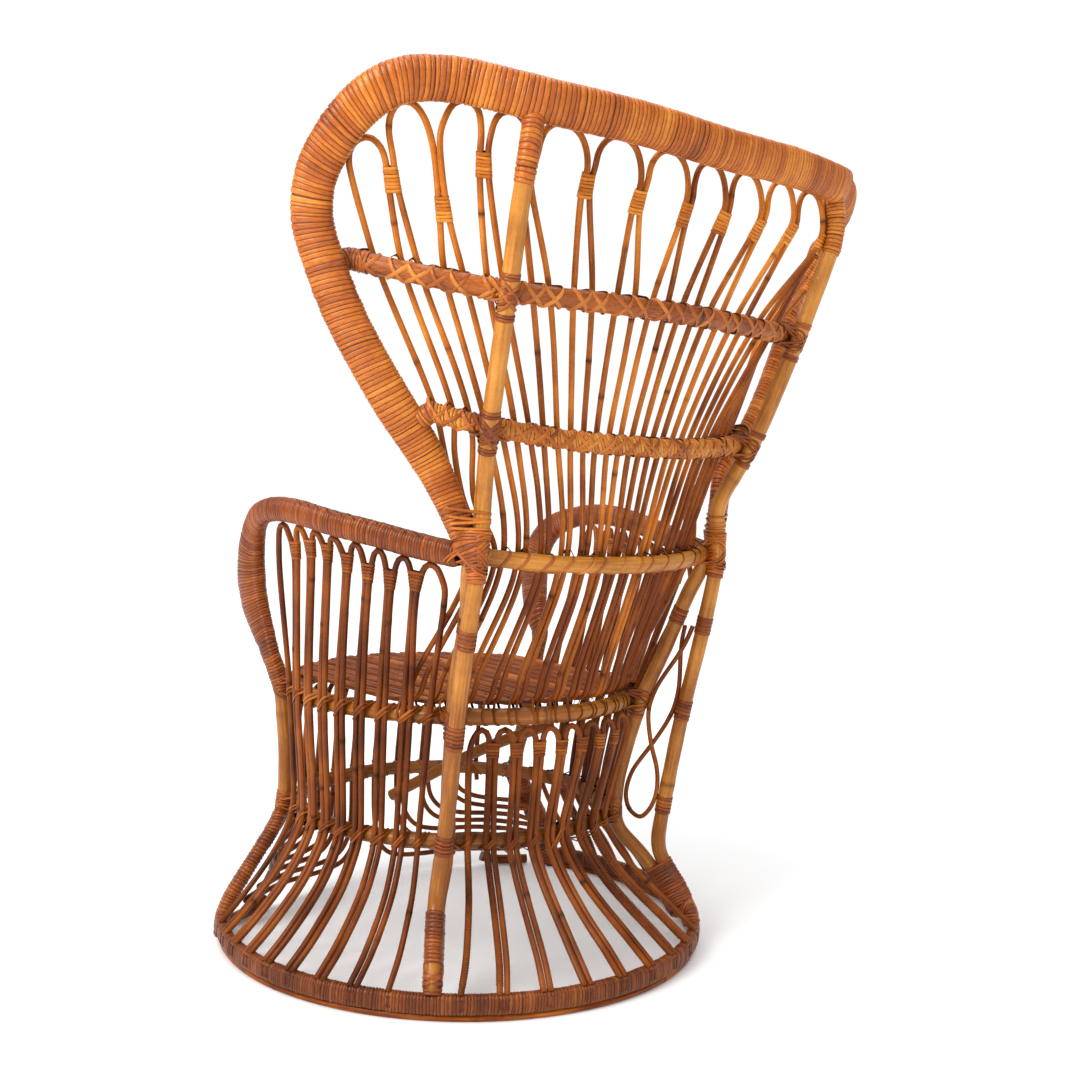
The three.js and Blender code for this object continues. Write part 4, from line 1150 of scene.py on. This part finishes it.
# posts: bound to the cross poles, wrapped in places and close-wound under the rim
b = Builder()
for side, m in (("left", np.ones(3)), ("right", MIRROR)):
    post = LINES[f"back_post_{side}"]
    if post[0][2] > post[-1][2]:
        post = post[::-1].copy()
    s = lengths(post)
    inner = LINES[f"inner_leg_{side}"]
    for name in ("upper", "middle", "lower"):
        p, r = BANDS[name]
        d = np.linalg.norm(post[:, None] - p[None], axis=2)
        i, j = np.unravel_index(np.argmin(d), d.shape)
        i = min(max(i, 2), len(post) - 3)
        j = min(max(j, 1), len(p) - 2)
        up = unit(post[i + 1] - post[i - 1])
        along = unit(p[j + 1] - p[j - 1])
        rods = [(post[i], up, POST_R), (p[j], along, r)]
        o = (post[i] + p[j]) / 2
        if name != "lower":
            for sgn in (-1, 1):
                for k in (-1, 0, 1):
                    a = 0.78
                    w = sgn * along * math.sin(a) + up * math.cos(a)
                    lash(b, rods, o + unit(w) * 0.0046 * k, w, 0.0048, 0.0012, 0.55 + 0.1 * rng.normal(), 36)
            for dz in (-0.021, 0.021):
                for k in (0, 1):
                    q = post[i] + up * (dz + 0.0042 * k * np.sign(dz))
                    lash(b, [(post[i], up, POST_R)], q, up + along * 0.04 * rng.normal(), 0.0042, 0.0011, 0.5, 26)
    for zf, turns in ((481, 5), (353, 6), (214, 5)):
        q = at(0, 0, zf)[2]
        i = int(np.argmin(abs(post[:, 2] - q)))
        up = unit(post[i + 1] - post[i - 1])
        binding(b, [(post[i], up, POST_R)], post[i], up, turns, 0.0052, 0.0048, 0.0012, 0.45, 0.03, 26)
    for zf, turns, ring in ((490, 5, None), (363, 5, (SEAT_C, SEAT_R, 0.0115)), (204, 5, (WAIST_C, WAIST_R, 0.0105))):
        i = int(np.argmin(abs(inner[:, 2] - at(0, 0, zf)[2])))
        i = min(max(i, 1), len(inner) - 2)
        up = unit(inner[i + 1] - inner[i - 1])
        up = up * np.sign(up[2])
        if ring is None:
            binding(b, [(inner[i], up, POST_R)], inner[i], up, turns, 0.0046, 0.0044, 0.0012, 0.45, 0.03, 26)
            continue
        c, R, pr = ring
        n = unit((inner[i] - c) * [1, 1, 0])
        t = np.cross(Z, n)
        rods = [(inner[i], up, POST_R), (c + n * R, t, pr)]
        for sgn in (-1, 1):
            for k in (-1, 0, 1):
                w = sgn * t * 0.7 + Z * 0.72
                lash(b, rods, (inner[i] + c + n * R) / 2 + unit(w) * 0.0045 * k, w, 0.0046, 0.0011, 0.45 + 0.1 * rng.normal(), 32)
        for dz in (-0.019, -0.0145, 0.0145, 0.019):
            lash(b, [(inner[i], up, POST_R)], inner[i] + up * dz, up, 0.0044, 0.0011, 0.45, 24)
    # foot of the post and end of the inner leg, wound together
    rows = []
    for z in np.linspace(0.037, 0.122, 12):
        i = int(np.argmin(abs(post[:, 2] - z)))
        j = int(np.argmin(np.linalg.norm(inner - post[i], axis=1)))
        near_leg = z > 0.056
        gap = inner[j] - post[i]
        if not rows:
            rows.append((post[i] - Z * 0.006, POST_R + 0.0022, gap))
        rows.append((post[i] + (gap * 0.5 if near_leg else gap * 0.12), np.linalg.norm(gap) / 2 + POST_R + 0.0012 if near_leg else POST_R + 0.0022, gap))
    run = smooth(np.array([r_[0] for r_ in rows]), 0.004)
    rl = lengths(run)
    marks_at = np.linspace(0, rl[-1], len(rows))
    guide = np.stack([np.interp(rl, marks_at, [r_[2][q] for r_ in rows]) for q in range(3)], 1)

    def foot_size(ss, rows=rows, marks_at=marks_at):
        return np.interp(ss, marks_at, [min(r_[1], 0.0222) for r_ in rows]), np.full(len(ss), POST_R + 0.0018)

    wound(b, run, led(run, guide), (0.02, 0.0122, 2.5), strip=0.0046, around=28, tone=0.45, slant=0.001, taper=foot_size, ridge=0.0005, groove=0.0011)
made(b, "post_wrappings", M_ARM, "wrapped_bundle")

b = Builder()
for side in ("left", "right"):
    post = LINES[f"back_post_{side}"]
    if post[0][2] > post[-1][2]:
        post = post[::-1].copy()
    s = lengths(post)
    fr = frames(post)
    L = s[-1]

    end = post[-1]
    rim_i = int(np.argmin(np.linalg.norm(RIM_P - end, axis=1)))
    to_rim = RIM_P[rim_i] - end
    up = unit(post[-1] - post[-4])
    more = [end + to_rim * 0.4]
    path = smooth(np.vstack([post[-14:], more]), 0.004)
    fr = frames(path, [1, 0, 0])
    L = lengths(path)[-1]

    def bulge(ss, L=L):
        r = np.interp(ss, [L - 0.085, L - 0.03, L - 0.018, L], [POST_R + 0.0012, POST_R + 0.0016, 0.0122, 0.0112])
        return r, r

    wound(b, path, fr, (POST_R, POST_R, 2.0), strip=0.0052, around=24, tone=0.55, slant=0.0008, s0=L - 0.082, s1=L, taper=bulge)
made(b, "post_heads", M_WOUND, "wrapped_bundle")

# the big knots where arm, lower cross pole, post and the tail of the rim meet
b = Builder()
for side, m in (("left", np.ones(3)), ("right", MIRROR)):
    post = LINES[f"back_post_{side}"]
    low, lr = BANDS["lower"]
    arm_p, arm_f, _ = ARM[side]
    k = at(212, 288, 588) * m
    pt, up = nearest(post, k)
    up = up * np.sign(up[2])
    end = low[-2] if side == "left" else low[1]
    bd = unit(low[-1] - low[-4]) if side == "left" else unit(low[0] - low[3])
    ad = unit(arm_p[6] - arm_p[1])
    tail = RIM_P[-1] if (RIM_P[-1][0] > 0) == (side == "left") else RIM_P[0]
    tail2 = RIM_P[-12] if (RIM_P[-1][0] > 0) == (side == "left") else RIM_P[11]
    td = unit(tail2 - tail)
    # sleeve over the post and the tail of the rim, closing in below the arm
    tp = RIM_P[-1] if (RIM_P[-1][0] > 0) == (side == "left") else RIM_P[0]
    rows = []
    for zf, share, ra, rb_ in ((612, 0.5, 0.0138, 0.0262), (600, 0.5, 0.0134, 0.0245), (588, 0.36, 0.0128, 0.0185), (576, 0.14, 0.0124, 0.0142), (562, 0.0, 0.0122, 0.0122), (552, 0.0, 0.012, 0.012)):
        zz = at(0, 0, zf)[2]
        pi = post[int(np.argmin(abs(post[:, 2] - zz)))]
        rows.append((pi + (tp - pi) * [1, 1, 0] * share, ra, rb_))
    sleeve = smooth(np.array([r_[0] for r_ in rows]), 0.004)
    sl = lengths(sleeve)
    toward = np.broadcast_to((tp - pt) * [1, 1, 0], sleeve.shape)
    fr = led(sleeve, toward)
    knots_at = np.linspace(0, sl[-1], len(rows))

    def sleeve_size(ss):
        return np.interp(ss, knots_at, [r_[2] for r_ in rows]), np.interp(ss, knots_at, [r_[1] for r_ in rows])

    wound(b, sleeve, fr, (0.02, 0.0135, 2.2), strip=0.0045, around=30, tone=0.45, slant=0.001, taper=sleeve_size)
    rods = [(pt, up, POST_R), (end, bd, lr)]
    o = (pt + end) / 2
    along = unit(bd - (bd @ up) * up)
    for sgn in (-1, 1):
        for q in (-0.5, 0.5):
            w = sgn * along * math.sin(0.8) + up * math.cos(0.8)
            lash(b, rods, o + unit(w) * 0.0036 * q, w, 0.0036, 0.001, 0.5 + 0.12 * rng.normal(), 40, lift=0.0006)
    # arm end to post
    a_end = arm_p[2]
    rods = [(pt, up, POST_R), (a_end, ad, 0.0125)]
    o = (pt + a_end) / 2
    al = unit(ad - (ad @ up) * up)
    for sgn in (-1, 1):
        for q in (-0.5, 0.5):
            w = sgn * al * math.sin(0.6) + up * math.cos(0.6)
            lash(b, rods, o + unit(w) * 0.0036 * q, w, 0.0036, 0.001, 0.5 + 0.12 * rng.normal(), 44, lift=0.0008)
    # tail of the rim to post: loose turns
    for zf in (617, 623, 628, 635):
        q = at(0, 0, zf)[2]
        i = int(np.argmin(abs(post[:, 2] - q)))
        i = min(max(i, 1), len(post) - 2)
        u2 = unit(post[i + 1] - post[i - 1])
        u2 *= np.sign(u2[2])
        half = RIM_P[RIM_P[:, 0] > 0] if side == "left" else RIM_P[RIM_P[:, 0] < 0]
        j = int(np.argmin(abs(half[:, 2] - q) + (half[:, 2] > q + 0.05)))
        j = min(max(j, 2), len(half) - 3)
        rods = [(post[i], u2, POST_R), (half[j], unit(half[j + 2] - half[j - 2]), 0.0138)]
        lash(b, rods, (post[i] + half[j]) / 2, u2 + 0.07 * rng.normal(size=3), 0.0036, 0.0012, 0.6 + 0.1 * rng.normal(), 40, lift=0.0006)
made(b, "big_knots", M_WOUND, "wrapped_bundle")

# front legs: turns at the waist and at the seat
b = Builder()
for side in ("left", "right"):
    top, foot = LEGS[side]
    for zf, turns in ((200, 5), (372, 4)):
        q = at(0, 0, zf)[2]
        i = int(np.argmin(abs(top[:, 2] - q)))
        i = min(max(i, 1), len(top) - 2)
        up = unit(top[i + 1] - top[i - 1])
        rods = [(top[i], up, 0.011)]
        c, R, pr = (WAIST_C, WAIST_R, 0.0105) if zf == 200 else (SEAT_C, SEAT_R, 0.0115)
        n = unit((top[i] - c) * [1, 1, 0])
        t = np.cross(Z, n)
        binding(b, rods, top[i], up, turns, 0.0044, 0.0044, 0.0013, 0.5, 0.03, 28)
        for sgn in (-1, 1):
            for k in (-0.5, 0.5):
                w = sgn * t * 0.7 + Z * 0.72
                lash(b, rods + [(c + n * R, t, pr)], c + n * (R + 0.008) + unit(w) * 0.0045 * k, w, 0.0046, 0.0012, 0.5 + 0.1 * rng.normal(), 34)
made(b, "front_leg_ties", M_ARM, "wrapped_bundle")

# marks of the stake ends in the winding of the base
b = Builder()
stakes = []
for n in LINES:
    if n.startswith(("side_loop", "skirt_loop")):
        line = LINES[n]
        for e in (0, -1):
            if line[e][2] < 0.06:
                stakes.append(line[e])
for q in stakes:
    i = int(np.argmin(np.linalg.norm((BASE_P - q)[:, :2], axis=1)))
    i = min(max(i, 2), len(BASE_P) - 3)
    t, x, y = (f[i] for f in BASE_F)
    for sgn in (-1, 1):
        path, outs = [], []
        for u in np.linspace(-1, 1, 9):
            th = 0.15 + 0.42 * u
            ex, ey = superellipse(np.array([th]), 0.0085, 0.0127, 3.0)
            path.append(BASE_P[i] + t * (sgn * u * 0.0022) + (ex[0] + 0.0002) * x + (ey[0]) * y)
            outs.append(math.cos(th) / 0.0085 * x + math.sin(th) / 0.0127 * y)
        ribbon(b, np.array(path), np.array(outs), 0.0026, 0.0008, 0.1, closed=False, dark=0.45)
made(b, "base_stitches", M_TIE, "wrapped_bundle")

# ------------------------------------------------------------------------- floor, light, camera

me = bpy.data.meshes.new("floor")
e = 14.0
me.from_pydata([(-e, -e, 0), (e, -e, 0), (e, e, 0), (-e, e, 0)], [], [(0, 1, 2, 3)])
floor = bpy.data.objects.new("floor", me)
bpy.context.scene.collection.objects.link(floor)
fm = bpy.data.materials.new("pale_floor")
fm.use_nodes = True
fp = fm.node_tree.nodes["Principled BSDF"]
fp.inputs["Base Color"].default_value = (0.93, 0.93, 0.93, 1)
fp.inputs["Emission Color"].default_value = (1, 1, 1, 1)
ft = fm.node_tree
# painted light: the floor glows faintly near the chair and more strongly farther out, so the far floor turns white
# while the shade near the chair stays
where = ft.nodes.new("ShaderNodeTexCoord")
reach_ = ft.nodes.new("ShaderNodeVectorMath")
reach_.operation = "LENGTH"
glow = ft.nodes.new("ShaderNodeMapRange")
glow.interpolation_type = "SMOOTHSTEP"
for key, value in (("From Min", 0.55), ("From Max", 2.4), ("To Min", 0.05), ("To Max", 0.5)):
    glow.inputs[key].default_value = value
ft.links.new(where.outputs["Object"], reach_.inputs[0])
ft.links.new(reach_.outputs["Value"], glow.inputs["Value"])
ft.links.new(glow.outputs["Result"], fp.inputs["Emission Strength"])
fp.inputs["Roughness"].default_value = 0.75
fp.inputs["Specular IOR Level"].default_value = 0.2
me.materials.append(fm)

world = bpy.data.worlds.new("studio")
bpy.context.scene.world = world
world.use_nodes = True
wt = world.node_tree
wt.nodes.clear()
wo = wt.nodes.new("ShaderNodeOutputWorld")
bg1, bg2 = wt.nodes.new("ShaderNodeBackground"), wt.nodes.new("ShaderNodeBackground")
bg1.inputs["Color"].default_value = (1, 1, 1, 1)
bg1.inputs["Strength"].default_value = 0.66
bg2.inputs["Color"].default_value = (1, 1, 1, 1)
bg2.inputs["Strength"].default_value = 1.05
lp, mx = wt.nodes.new("ShaderNodeLightPath"), wt.nodes.new("ShaderNodeMixShader")
wt.links.new(lp.outputs["Is Camera Ray"], mx.inputs[0])
wt.links.new(bg1.outputs[0], mx.inputs[1])
wt.links.new(bg2.outputs[0], mx.inputs[2])
wt.links.new(mx.outputs[0], wo.inputs[0])

RIGHT = np.array([-0.76663762, 0.64110673, 0.0353402])
UP = np.array([-0.0000967, -0.0551555, 0.9984778])
LOOK = np.array([-0.64208002, -0.7654672, -0.04234624])
EYE = np.array([1.14464911, 1.52286334, 0.67080318]) + SHIFT / 1000.0


def area(name, place, aim, size, power, colour=(1, 1, 1)):
    li = bpy.data.lights.new(name, "AREA")
    li.shape = "RECTANGLE"
    li.size, li.size_y = size
    li.energy = power
    li.color = colour
    o = bpy.data.objects.new(name, li)
    bpy.context.scene.collection.objects.link(o)
    from mathutils import Vector
    d = Vector(aim) - Vector(place)
    o.location = place
    o.rotation_euler = d.to_track_quat("-Z", "Y").to_euler()
    return o


left = -RIGHT
area("key", tuple(EYE + left * 1.5 + np.array([0, 0, 1.2])), (0, 0, 0.6), (1.2, 1.2), 58)
area("fill", tuple(EYE + RIGHT * 1.6 + np.array([0, 0, 0.3])), (0, 0, 0.5), (1.4, 1.4), 5)
area("top", (0.2, 0.3, 2.9), (0, 0, 0.3), (2.2, 2.2), 46)

cam_data = bpy.data.cameras.new("camera")
cam_data.sensor_width = 36.0
cam_data.lens = 36.0 * 1284.82 / 1080.0
cam_data.clip_end = 60
cam = bpy.data.objects.new("camera", cam_data)
bpy.context.scene.collection.objects.link(cam)
from mathutils import Matrix
cam.matrix_world = Matrix(
    (
        (RIGHT[0], UP[0], -LOOK[0], EYE[0]),
        (RIGHT[1], UP[1], -LOOK[1], EYE[1]),
        (RIGHT[2], UP[2], -LOOK[2], EYE[2]),
        (0, 0, 0, 1),
    )
)
bpy.context.scene.camera = cam
bpy.context.scene.view_settings.view_transform = "Standard"
